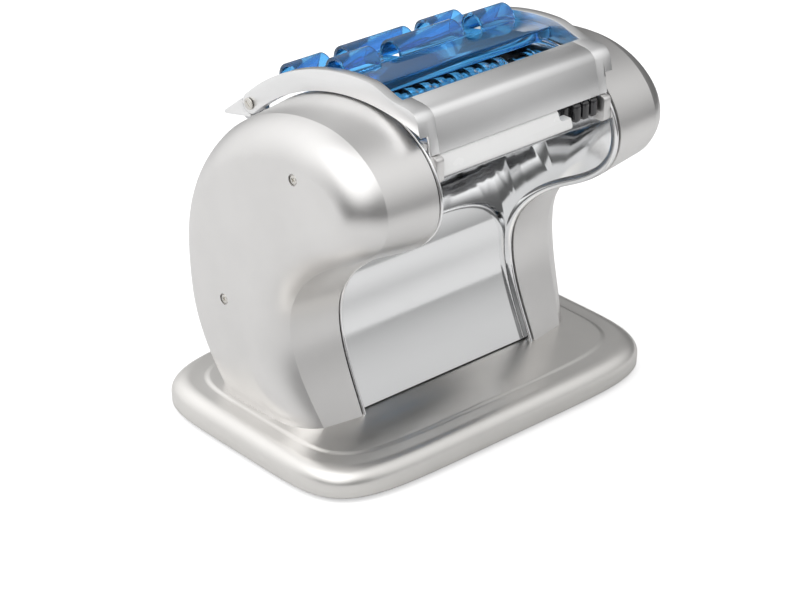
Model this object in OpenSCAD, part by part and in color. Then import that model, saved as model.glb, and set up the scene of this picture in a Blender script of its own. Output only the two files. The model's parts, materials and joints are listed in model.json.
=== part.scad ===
// Electric pasta maker. Two hooked end housings stand on a base plate. A polished chute and
// three driven pairs of rollers lie between them, under a hinged cover with a finger guard.
// X runs from the left housing to the right one, -Y is the front, and the origin lies on the
// table under the middle of the machine. Sizes are in millimetres.

/* [Base] */
// Width of the base plate
base_w = 301; // [292:1:320]
// Depth of the base plate
base_d = 209; // [204:1:225]
// Height of the base plate's top over the table
base_h = 23.5; // [21:0.5:27]
// Radius of the base plate's soft upper edge
base_edge_r = 11; // [8:0.5:13]
// Height of the raised step on top of the base plate
base_step_h = 1.2; // [0.6:0.1:2]
// Distance of the raised step from the rim
base_step_in = 21; // [17:1:24]
// Wall of the base plate
base_wall = 2.5; // [2:0.1:3.5]
// Height of the rim's lower edge over the table
base_rim_h = 2.5; // [1.5:0.5:4]
// How far the base plate's middle lies behind the origin
base_y = 6.5; // [4:0.5:9]
// Squareness of the base plate's outline, 2 is an ellipse
base_square = 5.6; // [4.6:0.1:6.2]
// Radius of a rubber foot
foot_r = 12; // [9:0.5:15]
// Distance of the feet from the ends of the base plate
foot_from_end = 42; // [36:1:48]
// Distance of the feet from the front and back of the base plate
foot_from_front = 38; // [34:1:44]

/* [Housings] */
// Clear width between the two side plates
throat_w = 154; // [148:1:158]
// Width of the straight band of a housing
band_w = 37.6; // [36:0.2:43]
// Dark gap between a bead and the rim of its housing
rim_gap = 1.8; // [1:0.1:2.5]
// How far the rounded end stands out past the band
dome_h = 21; // [17:1:23]
// How far the rounded end draws in on all sides
dome_in = 30; // [24:1:31]
// Angle on its curve at which the rounded end leaves the band, for a clear crease
dome_start = 28; // [15:1:35]
// How much the band widens towards the side plate
draft = 4.5; // [3:0.5:5]
// How far the rounded end draws in at the foot
foot_in = 13; // [10:0.5:15]
// Height over which it draws in
foot_lean_h = 75; // [60:5:90]
// Wall of a housing
shell_wall = 2.5; // [2:0.1:3]
// Thickness of a side plate
plate_t = 2; // [1.5:0.25:2.5]
// Gap between a side plate's edge and the housing round it
plate_gap = 0.8; // [0.5:0.1:1.2]
// Width of the part of a bead that lies on its side plate
bead_w = 2.2; // [1.5:0.1:3]
// Thickness of that part
bead_h = 1.3; // [0.8:0.1:1.3]
// Width of the bright edge of a bead
bead_edge = 0.6; // [0.3:0.1:1]
// Y of the rearmost point of the housings
back_y = 86; // [83:1:89]
// Height of that point over the base plate
back_h = 104.5; // [98:1:110]
// Y of the housings' crown
crown_y = -45; // [-48:1:-42]
// Height of the crown over the base plate
crown_h = 223.5; // [218:0.5:230]
// Y of the tip of the nose
nose_y = -107; // [-111:1:-104]
// Height of the tip of the nose over the base plate
nose_h = 177.5; // [173:0.5:182]
// Y of the point under the nose where the throat begins
throat_y = -65; // [-67:1:-62]
// Height of that point over the base plate
throat_h = 134; // [131:0.5:136]
// Y of the front of the leg's waist
waist_y = -10; // [-13:1:-8]
// Height of the waist over the base plate
waist_h = 68.5; // [64:0.5:74]
// Y of the front of the foot of the leg
toe_y = -33; // [-37:1:-29]
// Y of the back of the foot of the leg
heel_y = 67; // [63:1:71]

/* [Cover] */
// Gap between the crown of the housings and the arms
arm_gap = 1; // [0.7:0.1:2]
// Inner radius of an arched arm
arm_r = 171; // [168:1:176]
// Height of an arched arm's section
arm_h = 14; // [12:0.5:16]
// Width of an arm
arm_w = 7; // [5:0.5:8]
// Width of the front foot of an arm
arm_foot_w = 14; // [12:0.5:16]
// Y of the hinge pins
pin_y = 69; // [67:0.5:71]
// Radius of the hinge pins
pin_r = 3; // [2.5:0.25:3.5]
// Thickness of the front bar
bar_t = 2.5; // [2:0.1:3]
// Wall of the finger guard
guard_t = 2.2; // [1.6:0.1:2.6]
// Radius of the guard's hoods
hood_r = 10.5; // [9:0.5:11.5]
// Length of a short hood at the end of a row
hood_short = 29; // [26:1:31]
// Gap between two hoods in a row
hood_gap = 17; // [14:1:18]
// Length of the black block at the right end of the outlet
block_l = 27; // [23:1:30]

/* [Rollers] */
// Radius of a smooth roller
roller_r = 17; // [16:0.25:17.5]
// Gap between the smooth rollers when they are closed
gap_min = 0.3; // [0.3:0.1:0.6]
// How far the rear roller moves to set the dough's thickness
gap_travel = 2; // [1.4:0.1:2.2]
// Radius of a cutter's discs
cutter_r = 11.5; // [11:0.25:11.75]
// Distance between the axes of a pair of cutters
cutter_pitch = 20.5; // [20:0.25:20.75]
// Width of the strands from the fine cutter
fine_w = 2; // [1.8:0.1:2.6]
// Width of the strands from the wide cutter
wide_w = 6.5; // [6:0.25:7.5]
// Radius of the shafts
shaft_r = 4.5; // [4:0.25:5]
// Radial clearance of a shaft in its bush
run_gap = 0.05; // [0.03:0.01:0.08]
// Clearance between pieces that move past each other
free_gap = 0.35; // [0.3:0.05:0.5]
// Width of a gear
gear_w = 6; // [5:0.25:6.5]
// Axial gap between two planes of gears
gear_gap = 1.5; // [1:0.25:2]

/* [Drive and controls] */
// Radius of the motor
motor_r = 26; // [23:1:28]
// Length of the motor
motor_l = 96; // [80:1:105]
// Radius of the thickness knob
knob_r = 20; // [17:0.5:22]
// Height of the thickness knob
knob_h = 10; // [8:0.5:11]
// Width of the rocker switch
rocker_w = 13; // [11:0.5:15]
// Length of the rocker switch
rocker_l = 21; // [18:0.5:24]
// Radius of a housing screw's head
screw_r = 3.6; // [3:0.2:4]

/* [Hidden] */

SATIN = "#c4c5c7";
CHROME = "#dfe2e6";
STEEL = "#a9acb0";
BLACK = "#202124";
BLUE = "#1879c9";

// Everything over the base plate stands on its top.
top_z = base_h;
back_z = top_z + back_h;
crown_z = top_z + crown_h;
nose_z = top_z + nose_h;
throat_z = top_z + throat_h;
waist_z = top_z + waist_h;

// Faces across the machine, as distances from its middle plane.
plate_x = throat_w / 2;
rim_x = plate_x + bead_edge + rim_gap;
crease_x = rim_x + band_w;
end_x = crease_x + dome_h;

// A quarter of an ellipse drawn as a cubic curve has handles of this share.
ROUND = 0.5523;
CURVE_STEPS = 10;

function bezier(a, b, c, d, t) =
    pow(1 - t, 3) * a + 3 * t * pow(1 - t, 2) * b + 3 * t * t * (1 - t) * c + pow(t, 3) * d;
function curve(a, b, c, d, steps = CURVE_STEPS) = [
    for (i = [1:steps]) bezier(a, b, c, d, i / steps)
];

// Outline of a housing's end in the YZ plane, from the heel over the crown to the toe.
heel = [heel_y, top_z];
back = [back_y, back_z];
crown = [crown_y, crown_z];
nose = [nose_y, nose_z];
throat = [throat_y, throat_z];
waist = [waist_y, waist_z];
toe = [toe_y, top_z];
throat_dir = [0.89, -0.45];
outline = concat(
    [heel],
    curve(heel, heel + [8, 30], back - [0, 45], back),
    curve(back, back + [0, ROUND * (crown_z - back_z)],
        crown + [ROUND * (back_y - crown_y), 0], crown),
    curve(crown, crown - [ROUND * (crown_y - nose_y), 0],
        nose + [0, ROUND * (crown_z - nose_z)], nose),
    curve(nose, nose - [0, 22], throat - 20 * throat_dir, throat),
    curve(throat, throat + 34 * throat_dir, waist + [0, 29], waist),
    curve(waist, waist - [0, 25], toe + [10, 22], toe)
);
LAST = len(outline) - 1;

function unit(v) = v / norm(v);
// Direction out of the material at point i of the outline.
function outward(i) =
    let (d = unit(outline[min(i + 1, LAST)] - outline[max(i - 1, 0)])) [d[1], -d[0]];
// The outline drawn in by d. Its two ends stay on the plane z.
function inset(d, z = top_z) = [
    for (i = [0:LAST])
        i == 0 ? [heel_y - d, z] :
        i == LAST ? [toe_y + d, z] :
        let (p = outline[i] - d * outward(i)) [p[0], max(p[1], z + 0.2 * min(i, LAST - i))]
];

// Ellipse-like outline of the base plate, drawn in by d.
BASE_STEPS = 72;
function power(v) = sign(v) * pow(abs(v), 2 / base_square);
function base_ring(d, z) = [
    for (i = [0:BASE_STEPS - 1])
        let (a = 360 * (i + 0.5) / BASE_STEPS)
        [(base_w / 2 - d) * power(cos(a)), base_y + (base_d / 2 - d) * power(sin(a)), z]
];

// Places of the roller axes in the YZ plane, from the front cutter back to the motor.
fine_front = [nose_y + 28, crown_z - 26];
fine_rear = fine_front + [cutter_pitch, 0];
pair_step = 25;
wide_front = fine_rear + [pair_step, 0];
wide_rear = wide_front + [cutter_pitch, 0];
roller_teeth = 16;
cutter_teeth = 12;
step_teeth = 15;
drive_teeth = 20;
driven_teeth = 16;
idler_teeth = 24;
motor_teeth = 18;
drive_m = 2;
front_axis = wide_rear + drive_m * (drive_teeth + driven_teeth) / 2 * [0.389, -0.9212];
roller_pitch = 2 * roller_r + gap_min;
rear_axis = front_axis + [roller_pitch + gap_travel, 0];
idler_axis = front_axis + drive_m * (drive_teeth + idler_teeth) / 2 * [0.454, -0.891];
motor_axis = idler_axis + drive_m * (idler_teeth + motor_teeth) / 2 * [0.333, -0.943];
knob_axis = rear_axis - [0, 18];
eccentric = gap_travel / 2;
eccentric_r = 2.2;

// Planes of the gears, measured outwards from the middle of the machine.
plane_1 = plate_x + plate_t + gear_gap;
plane_2 = plane_1 + gear_w + gear_gap;
plane_3 = plane_2 + gear_w + gear_gap;
gear_plate_x = plane_3 + gear_w + gear_gap;
gear_plate_t = 2;

bush_wall = 2.5;
bush_r = shaft_r + bush_wall;
bush_flange = 0.8;
roller_l = throat_w - 6;
cutter_l = throat_w - 18;
block_y = 20;
block_z = 24;

// Arch of the cover.
arch = [crown_y - 4, crown_z + draft + arm_gap - arm_r];
arm_top = arm_r + arm_h;
arm_x = plate_x - 0.7;
arm_out_x = arm_x + arm_w;
foot_x = arm_out_x - arm_foot_w;
hinge_deg = asin((pin_y - arch[0]) / (arm_r + arm_h / 2));
pin_mid = arch + (arm_r + arm_h / 2) * [sin(hinge_deg), cos(hinge_deg)];
guard_r = arm_top - 5;
guard_x = arm_x - 0.2;
// Front bar's section: top rear edge, knee and lower edge.
bar_deg = -8;
bar_r = arm_top - 4;
bar_rear = arch + bar_r * [sin(bar_deg), cos(bar_deg)];
bar_knee = [nose_y + 11.5, bar_rear[1] - 7.5];
bar_low = [nose_y + 6.3, bar_rear[1] - 29];
screw_spots = [[nose_y + 65, nose_z + 13.6], [waist_y + 42, waist_z + 11.8]];
boss_r = 3.4;
boss_end = end_x - shell_wall - 0.5;

// ---- helpers -------------------------------------------------------------------------

// Extrudes a YZ section along X from x0 to x1.
module across(x0, x1) {
    translate([x0, 0, 0]) rotate([90, 0, 90]) linear_extrude(x1 - x0) children();
}

// A round bar along X about a point of the YZ plane.
module bar_x(at, r, x0, x1) {
    translate([x0, at[0], at[1]]) rotate([0, 90, 0]) cylinder(r = r, h = x1 - x0, $fn = 48);
}

module mirrored(side) {
    if (side > 0) children();
    else mirror([1, 0, 0]) children();
}

// Closed skin through equal rings. With hollow set, the rings after the first go out over
// the outer face and come back over the inner one, and the last joins the first.
module skin(rings, hollow = 0) {
    n = len(rings[0]);
    m = len(rings);
    points = [for (r = rings) each r];
    function at(r, i) = (r % m) * n + i % n;
    strips = [
        for (r = [0:m - (hollow > 0 ? 1 : 2)]) if (r != hollow - 1 || hollow == 0)
            for (i = [0:n - 1])
                each [
                    [at(r, i), at(r + 1, i), at(r + 1, i + 1)],
                    [at(r, i), at(r + 1, i + 1), at(r, i + 1)]
                ]
    ];
    // Rungs from one side of a ring to the other close its end, also where it is hooked.
    rungs = [
        for (i = [0:floor(n / 2) - 1]) let (j = n - 1 - i)
            each concat(i + 1 < j - 1 ? [[i, i + 1, j - 1]] : [], i < j - 1 ? [[i, j - 1, j]] : [])
    ];
    first = hollow > 0 ? hollow : 0;
    last = hollow > 0 ? hollow - 1 : m - 1;
    caps = [
        for (t = rungs) each [
            [at(first, t[0]), at(first, t[1]), at(first, t[2])],
            [at(last, t[2]), at(last, t[1]), at(last, t[0])]
        ]
    ];
    polyhedron(points = points, faces = concat(strips, caps), convexity = 8);
}

// Strip of even thickness along a path of the YZ plane.
function path_normal(p, i) =
    let (d = unit(p[min(i + 1, len(p) - 1)] - p[max(i - 1, 0)])) [-d[1], d[0]];
module strip(path, t) {
    polygon(concat(
        path,
        [for (i = [len(path) - 1:-1:0]) path[i] + t * path_normal(path, i)]
    ));
}

// Sector of a ring about the arch's middle, angles from the top towards the back.
function arc_points(r, a0, a1, steps = 24) = [
    for (i = [0:steps]) let (a = a0 + (a1 - a0) * i / steps) arch + r * [sin(a), cos(a)]
];
module arch_sector(r0, r1, a0, a1) {
    polygon(concat(arc_points(r0, a0, a1), arc_points(r1, a1, a0)));
}

// ---- base ----------------------------------------------------------------------------

BASE_ROUND = 5;
function base_outer() = concat(
    [base_ring(2, base_rim_h), base_ring(0, base_rim_h + 3)],
    [for (i = [0:BASE_ROUND])
        let (a = 90 * i / BASE_ROUND)
        base_ring(base_edge_r * (1 - cos(a)),
            top_z - base_step_h - base_edge_r * (1 - sin(a)))],
    [base_ring(base_step_in - 2, top_z - base_step_h), base_ring(base_step_in, top_z)]
);
function base_inner() = [
    base_ring(base_step_in + 1, top_z - base_wall),
    base_ring(base_wall + base_edge_r * 0.3, top_z - base_step_h - base_wall
        - base_edge_r * 0.3),
    base_ring(base_wall + 2, base_rim_h)
];

module base_plate() {
    color(SATIN) skin(concat(base_outer(), base_inner()), len(base_outer()));
}

cover_in = base_wall + 2.4;
module base_cover() {
    color(BLACK) skin([
        base_ring(cover_in, base_rim_h + 0.3), base_ring(cover_in, base_rim_h + 1.8)
    ]);
}

module rubber_feet() {
    color(BLACK)
        for (x = [-1, 1], y = [-1, 1])
            translate([x * (base_w / 2 - foot_from_end), base_y + y * (base_d / 2 - foot_from_front), 0])
                rotate_extrude($fn = 48)
                    polygon([
                        [0, 0], [foot_r - 1.5, 0], [foot_r, 1.5],
                        [foot_r, base_rim_h + 0.3], [0, base_rim_h + 0.3]
                    ]);
}

// ---- housings ------------------------------------------------------------------------

DOME_STEPS = 7;
// A housing leans in towards its foot, most at the rounded end and not at all at the rim.
function lean(x, z) =
    x - foot_in * (x - rim_x) / (end_x - rim_x) * pow(max(0, 1 - (z - top_z) / foot_lean_h), 2);
function ring_at(x, d, z = top_z) = [for (p = inset(d, z)) [lean(x, p[1]), p[0], p[1]]];
function dome_ring(i, wall) =
    let (a = dome_start + (90 - dome_start) * i / DOME_STEPS, z = wall > 0 ? top_z - 1 : top_z)
    ring_at(
        crease_x + (dome_h - wall) * (sin(a) - sin(dome_start)) / (1 - sin(dome_start)),
        wall + (dome_in - wall) * (1 - cos(a) / cos(dome_start)),
        z
    );
function housing_outer() = concat(
    [ring_at(rim_x, -draft), ring_at(rim_x + band_w / 2, -draft / 2)],
    [for (i = [0:DOME_STEPS]) dome_ring(i, 0)]
);
// The hollow is open towards the side plate and at the foot.
function housing_hollow() = concat(
    [ring_at(rim_x - 1, shell_wall - draft, top_z - 1)],
    [for (i = [0:DOME_STEPS]) dome_ring(i, shell_wall)]
);

module housing_shell() {
    difference() {
        skin(housing_outer());
        skin(housing_hollow());
    }
}

SCREW_SHANK_R = 1.5;
screw_seat_x = end_x - 1.3;
module screw_recesses() {
    for (s = screw_spots) {
        bar_x(s, screw_r + 0.4, screw_seat_x, end_x + 1);
        bar_x(s, SCREW_SHANK_R + 0.3, crease_x, end_x + 1);
    }
}

module left_housing() {
    color(SATIN) mirrored(-1) difference() {
        housing_shell();
        screw_recesses();
    }
}

switch_spot = [waist_y + 44, waist_z - 12];
module right_housing() {
    color(SATIN) difference() {
        housing_shell();
        screw_recesses();
        bar_x(knob_axis, shaft_r + free_gap, crease_x, end_x + 1);
        round_rocker(1, crease_x, end_x + 1);
    }
}

// Cut-outs that both side plates share: bushes of the fixed axes and the block's slot.
fixed_axes = [front_axis, fine_front, fine_rear, wide_front, wide_rear];
module side_plate(extra_holes) {
    difference() {
        across(plate_x, plate_x + plate_t) polygon(inset(shell_wall + plate_gap - draft));
        for (a = fixed_axes) bar_x(a, bush_r + 0.05, plate_x - 1, plate_x + plate_t + 1);
        translate([plate_x - 1, rear_axis[0] - gap_travel - block_y / 2 - free_gap,
            rear_axis[1] - block_z / 2 - 0.3])
            cube([plate_t + 2, block_y + gap_travel + 2 * free_gap, block_z + 0.6]);
        for (h = extra_holes) bar_x(h, shaft_r + 1, plate_x - 1, plate_x + plate_t + 1);
    }
}

module left_side_plate() {
    color(CHROME) mirrored(-1) side_plate([motor_axis]);
}

module right_side_plate() {
    color(CHROME) side_plate([]);
}

// Polished bead round a side plate. Its edge stands out as far as the rim of the housing.
module bead_ring(out, in, x0, x1) {
    across(x0, x1) difference() {
        polygon(inset(out));
        polygon(inset(in, top_z - 1));
    }
}
module bead() {
    plate_edge = shell_wall + plate_gap - draft;
    bead_ring(-draft, bead_in, plate_x - bead_h, plate_x);
    bead_ring(-draft, plate_edge - 0.3, plate_x - 0.01, plate_x + bead_edge);
}

module left_bead() {
    color(CHROME) mirrored(-1) bead();
}

module right_bead() {
    color(CHROME) bead();
}

// ---- body between the housings -------------------------------------------------------

sheet_t = 1.5;
bead_in = shell_wall + plate_gap - draft + bead_w;
// The chute follows the legs just inside the bead, and then leads back under the rollers.
chute_leg = inset(bead_in + 1, top_z + 0.9);
chute_bend = chute_leg[LAST - CURVE_STEPS];
chute_end = rear_axis + [roller_r + 9, -roller_r - 3];
chute_path = concat(
    curve(chute_end, chute_end - [40, 14], chute_bend + [0, 40], chute_bend, 14),
    [for (i = [LAST - CURVE_STEPS + 1:LAST]) chute_leg[i]]
);
module front_chute() {
    color(CHROME) across(-plate_x, plate_x) strip(chute_path, sheet_t);
}

rear_low = [heel_y - 4, top_z + 0.3];
rear_mid = [back_y - 4, back_z + 18];
rear_top = pin_mid + [1, -17];
rear_lip = pin_mid + [-12, -6];
rear_path = concat(
    [rear_low],
    curve(rear_low, rear_low + [10, 40], rear_mid - [0, 45], rear_mid),
    curve(rear_mid, rear_mid + [0, 30], rear_top + [3, -8], rear_top, 6),
    curve(rear_top, rear_top + [-2, 6], rear_lip + [4, 3], rear_lip, 5),
    [rear_axis + [roller_r - 4, roller_r + 3]]
);
inlet_x = 38;
inlet_z = top_z + 22;
inlet_y = heel_y + 2;
inlet_r = 8;
// The panel is full width below the height where it leaves the outline of the plates.
rear_wide_h = back_h + 12;
rear_panel_x = plate_x - bead_h - 0.1;
module rear_panel() {
    color(SATIN) difference() {
        union() {
            across(-plate_x, plate_x) intersection() {
                strip(rear_path, sheet_t);
                translate([0, top_z]) square([2 * back_y, rear_wide_h]);
            }
            across(-rear_panel_x, rear_panel_x) strip(rear_path, sheet_t);
        }
        translate([inlet_x, inlet_y + 12, inlet_z]) rotate([90, 0, 0])
            cylinder(r = inlet_r + 0.1, h = 30, $fn = 48);
        for (side = [-1, 1])
            mirrored(side) across(bracket_x - bracket_t - 0.4, plate_x + 1) hull() {
                translate(pin_mid) circle(ear_r + 0.6, $fn = 32);
                translate(bracket_foot) circle(bracket_foot_r + 0.6, $fn = 32);
                translate(tail_seat) circle(4.6, $fn = 32);
            }
    }
}

module cord_inlet() {
    color(BLACK) translate([inlet_x, inlet_y + 8, inlet_z]) rotate([90, 0, 0])
        rotate_extrude($fn = 48)
            polygon([
                [3.6, 0], [inlet_r, 0], [inlet_r + 2.5, 2], [inlet_r + 2.5, 3.4],
                [inlet_r, 3.4], [inlet_r, 13], [inlet_r + 1.5, 13], [inlet_r + 1.5, 15],
                [3.6, 15]
            ]);
}

// Cheeks that close the ends of the cutters under and behind the front bar.
cheek_low = bar_low[1] - 18;
cheek_back = fine_front[0] - bush_r - 1.5;
cheek_behind = bar_low[0] + bar_t + 2.6;
module cheek() {
    across(foot_x + 0.3, plate_x - bead_h - 0.1) union() {
        hull() {
            translate([bar_low[0] - 1.2, cheek_low + 3]) circle(3, $fn = 32);
            translate([bar_low[0] - 1.2, bar_low[1] - 3.7]) circle(3, $fn = 32);
            translate([cheek_back - 2, cheek_low + 2]) circle(2, $fn = 32);
            translate([cheek_back - 2, bar_low[1] - 2.7]) circle(2, $fn = 32);
        }
        translate([cheek_behind, bar_low[1] - 4]) square([cheek_back - cheek_behind, 10]);
    }
}

module left_cheek() {
    color(SATIN) mirrored(-1) cheek();
}

module right_cheek() {
    color(SATIN) cheek();
}

// Bright outlet bar under the front bar. It stops short of the right cheek.
deflector_end = foot_x - block_l;
deflector_top = bar_low[1] - 1;
module deflector() {
    color("white") across(-foot_x - 0.2, deflector_end) hull() {
        translate([bar_low[0] + 2.6, deflector_top - 2.6]) circle(2.6, $fn = 32);
        translate([bar_low[0] - 0.6, deflector_top - 12]) circle(2.6, $fn = 32);
        translate([bar_low[0] + 4, deflector_top - 13]) circle(1.6, $fn = 32);
    }
}

// Black end block of the outlet, with the ribs that show beside the right cheek.
block_front = bar_low[0] + 4;
block_depth = fine_front[0] - cutter_r - 0.8 - block_front;
block_drop = 14;
rib_w = 3;
rib_step = 7.5;
module outlet_block() {
    color(BLACK) {
        translate([deflector_end, block_front, deflector_top - block_drop])
            cube([foot_x + 0.3 - deflector_end, block_depth, block_drop]);
        for (i = [0:2])
            translate([deflector_end + 4 + i * rib_step, bar_low[0] - 1, deflector_top - 12.5])
                cube([rib_w, 6, 12.5]);
    }
}

// ---- carriers inside -----------------------------------------------------------------

pillar_r = 4;
pillars = [
    fine_front - [2, cutter_r + 15], front_axis - [2 * roller_r - 1, 8],
    rear_axis + [roller_r + 8, -roller_r - 11], waist + [15, -16]
];
module left_gear_plate() {
    color(STEEL) difference() {
        across(-gear_plate_x - gear_plate_t, -gear_plate_x)
            polygon(inset(shell_wall + 4, top_z + 1));
        bar_x(motor_axis, shaft_r + 1, -gear_plate_x - 3, -gear_plate_x + 1);
        bar_x(front_axis, shaft_r + run_gap, -gear_plate_x - 3, -gear_plate_x + 1);
    }
}

module gear_plate_pillars() {
    color(STEEL)
        for (p = pillars) bar_x(p, pillar_r, -gear_plate_x, -plate_x - plate_t);
}

module housing_bosses() {
    color(BLACK)
        for (s = screw_spots) difference() {
            union() {
                bar_x(s, boss_r, -boss_end, -gear_plate_x - gear_plate_t);
                bar_x(s, boss_r, plate_x + plate_t, boss_end);
            }
            bar_x(s, SCREW_SHANK_R + run_gap, -boss_end - 1, -boss_end + 8);
            bar_x(s, SCREW_SHANK_R + run_gap, boss_end - 8, boss_end + 1);
        }
}

module housing_screws() {
    color(STEEL)
        for (side = [-1, 1], s = screw_spots)
            mirrored(side) difference() {
                union() {
                    bar_x(s, screw_r, screw_seat_x, end_x - 0.3);
                    bar_x(s, SCREW_SHANK_R, boss_end - 7, screw_seat_x);
                }
                bar_x(s, 1.3, screw_seat_x + 0.3, end_x);
            }
}

// Rods that hold the side plates apart: two near the back and one behind the rollers.
tie_rod_r = 4;
tie_rod_spots = [
    heel + [-16, 22], back + [-22, -4], rear_axis + [roller_r + 13, -roller_r - 5]
];
module tie_rods() {
    color(STEEL)
        for (p = tie_rod_spots) bar_x(p, tie_rod_r, -plate_x, plate_x);
}

// ---- hinge ---------------------------------------------------------------------------

bracket_t = 3.6;
bracket_x = plate_x - bead_h - 0.1;
ear_r = 7;
tail_seat = arch + (arm_r + arm_h / 2) * [sin(hinge_deg + 6), cos(hinge_deg + 6)];
bracket_foot = pin_mid + [-2, -38];
bracket_foot_r = 4.5;
module hinge_bracket() {
    difference() {
        union() {
            across(bracket_x - bracket_t, bracket_x) hull() {
                translate(pin_mid) circle(ear_r, $fn = 32);
                translate(bracket_foot) circle(bracket_foot_r, $fn = 32);
            }
            across(bracket_x - bracket_t, bracket_x) hull() {
                translate(pin_mid) circle(ear_r - 2, $fn = 32);
                translate(tail_seat) circle(4, $fn = 32);
            }
            across(bracket_x, plate_x) translate(bracket_foot) circle(bracket_foot_r - 1, $fn = 32);
        }
        bar_x(pin_mid, pin_r + run_gap, bracket_x - bracket_t - 1, bracket_x + 1);
    }
}

module left_hinge_bracket() {
    color(STEEL) mirrored(-1) hinge_bracket();
}

module right_hinge_bracket() {
    color(STEEL) hinge_bracket();
}

pin_head_x = arm_out_x + 0.3;
pin_head_t = 1;
pin_head_r = pin_r + 1.2;
module hinge_pins() {
    color(STEEL)
        for (side = [-1, 1]) mirrored(side) {
            bar_x(pin_mid, pin_r, bracket_x - bracket_t, pin_head_x);
            bar_x(pin_mid, pin_head_r, pin_head_x, pin_head_x + pin_head_t);
        }
}

// Pointed tail that carries the line of an arm on behind its hinge.
module tail() {
    across(bracket_x, arm_out_x) difference() {
        hull() {
            translate(arch + (arm_top - 1.5) * [sin(hinge_deg + 2.6), cos(hinge_deg + 2.6)])
                circle(1.5, $fn = 24);
            translate(arch + (arm_r + 1.5) * [sin(hinge_deg + 2), cos(hinge_deg + 2)])
                circle(1.5, $fn = 24);
            translate(arch + (arm_top + 2) * [sin(hinge_deg + 8.8), cos(hinge_deg + 8.8)])
                circle(1.4, $fn = 24);
        }
        translate(pin_mid) circle(arm_h / 2 + 0.5, $fn = 48);
    }
}

module left_tail() {
    color(SATIN) mirrored(-1) tail();
}

module right_tail() {
    color(SATIN) tail();
}

// ---- cover ---------------------------------------------------------------------------

// In front the arm draws in to the height of the bar, follows it over the knee and ends in a
// tip on its face.
arm_tip_deg = -16.2;
tip_in = arc_points(arm_r, arm_tip_deg, arm_tip_deg, 1)[0];
tip_z = tip_in[1] - 1.6;
tip_face = bar_knee + (bar_low - bar_knee) * (bar_knee[1] - tip_z) / (bar_knee[1] - bar_low[1]);
module arm_side() {
    polygon(concat(
        arc_points(arm_r, arm_tip_deg, hinge_deg),
        arc_points(arm_top, hinge_deg, 0),
        [for (i = [1:4]) let (a = bar_deg * i / 5)
            arch + (bar_r + (arm_top - bar_r) * (1 + cos(36 * i)) / 2) * [sin(a), cos(a)]],
        [for (i = [0:len(bar_path) - 2]) bar_path[i]],
        [tip_face]
    ));
    translate(pin_mid) circle(arm_h / 2, $fn = 48);
}
module arm() {
    difference() {
        union() {
            across(arm_x, arm_out_x) arm_side();
            across(foot_x, arm_x) bar_section();
        }
        bar_x(pin_mid, pin_r + run_gap, arm_x - 1, arm_out_x + 1);
    }
}

// Bent section of the front bar, from its rear edge over the knee to its lower edge.
bar_path = concat(
    [bar_rear],
    curve(bar_rear, bar_rear - [12, 1], bar_knee + [3, 8], bar_knee, 8),
    [bar_low]
);
module bar_section() {
    strip(bar_path, bar_t);
}

module left_arm() {
    color(SATIN) mirrored(-1) arm();
}

module right_arm() {
    color(SATIN) arm();
}

module front_bar() {
    color(SATIN) {
        across(-foot_x, foot_x) bar_section();
        for (x = [-foot_x + 1, -foot_x / 3, foot_x / 3 - 2, foot_x - 3])
            across(x, x + 2) hull() {
                translate(bar_rear + [-5, -4]) circle(1, $fn = 24);
                translate(bar_knee + [5, -1]) circle(1, $fn = 24);
                translate(bar_low + [4.5, 8]) circle(1, $fn = 24);
            }
    }
}

guard_front_deg = 0.5;
guard_rear_deg = 35;
hood_rows = [13.4, 29.4];
hood_long = 2 * guard_x - 2 * hood_short - 2 * hood_gap - 6;
hood_spans = [
    [-guard_x + 3, -guard_x + 3 + hood_short],
    [-hood_long / 2, hood_long / 2],
    [guard_x - 3 - hood_short, guard_x - 3]
];

// Half pipe on the guard, open at both ends.
module hood(span, deg) {
    at = arch + guard_r * [sin(deg), cos(deg)];
    across(span[0], span[1]) translate(at) rotate(-deg) difference() {
        circle(hood_r, $fn = 48);
        circle(hood_r - guard_t, $fn = 48);
        translate([-hood_r - 1, -2 * hood_r - guard_t]) square([2 * hood_r + 2, 2 * hood_r]);
    }
}

module finger_guard() {
    color(BLUE, 0.7) {
        difference() {
            across(-guard_x, guard_x)
                arch_sector(guard_r - guard_t, guard_r, guard_front_deg, guard_rear_deg);
            for (deg = hood_rows, span = hood_spans) {
                at = arch + guard_r * [sin(deg), cos(deg)];
                across(span[0], span[1])
                    translate(at) circle(hood_r - guard_t, $fn = 48);
            }
        }
        for (deg = hood_rows, span = hood_spans) hood(span, deg);
        across(-guard_x, guard_x)
            translate(arch + (guard_r - 8) * [sin(guard_front_deg), cos(guard_front_deg)])
                square([guard_t, 7.9]);
    }
}

// ---- rollers and gears ---------------------------------------------------------------

// Involute of a base circle, with the roll angle in degrees.
function involute(rb, t) =
    rb * [cos(t) + t * PI / 180 * sin(t), sin(t) - t * PI / 180 * cos(t)];
function turned(p, a) = [p[0] * cos(a) - p[1] * sin(a), p[0] * sin(a) + p[1] * cos(a)];
PRESSURE = 20;
BACKLASH = 0.35;

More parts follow.
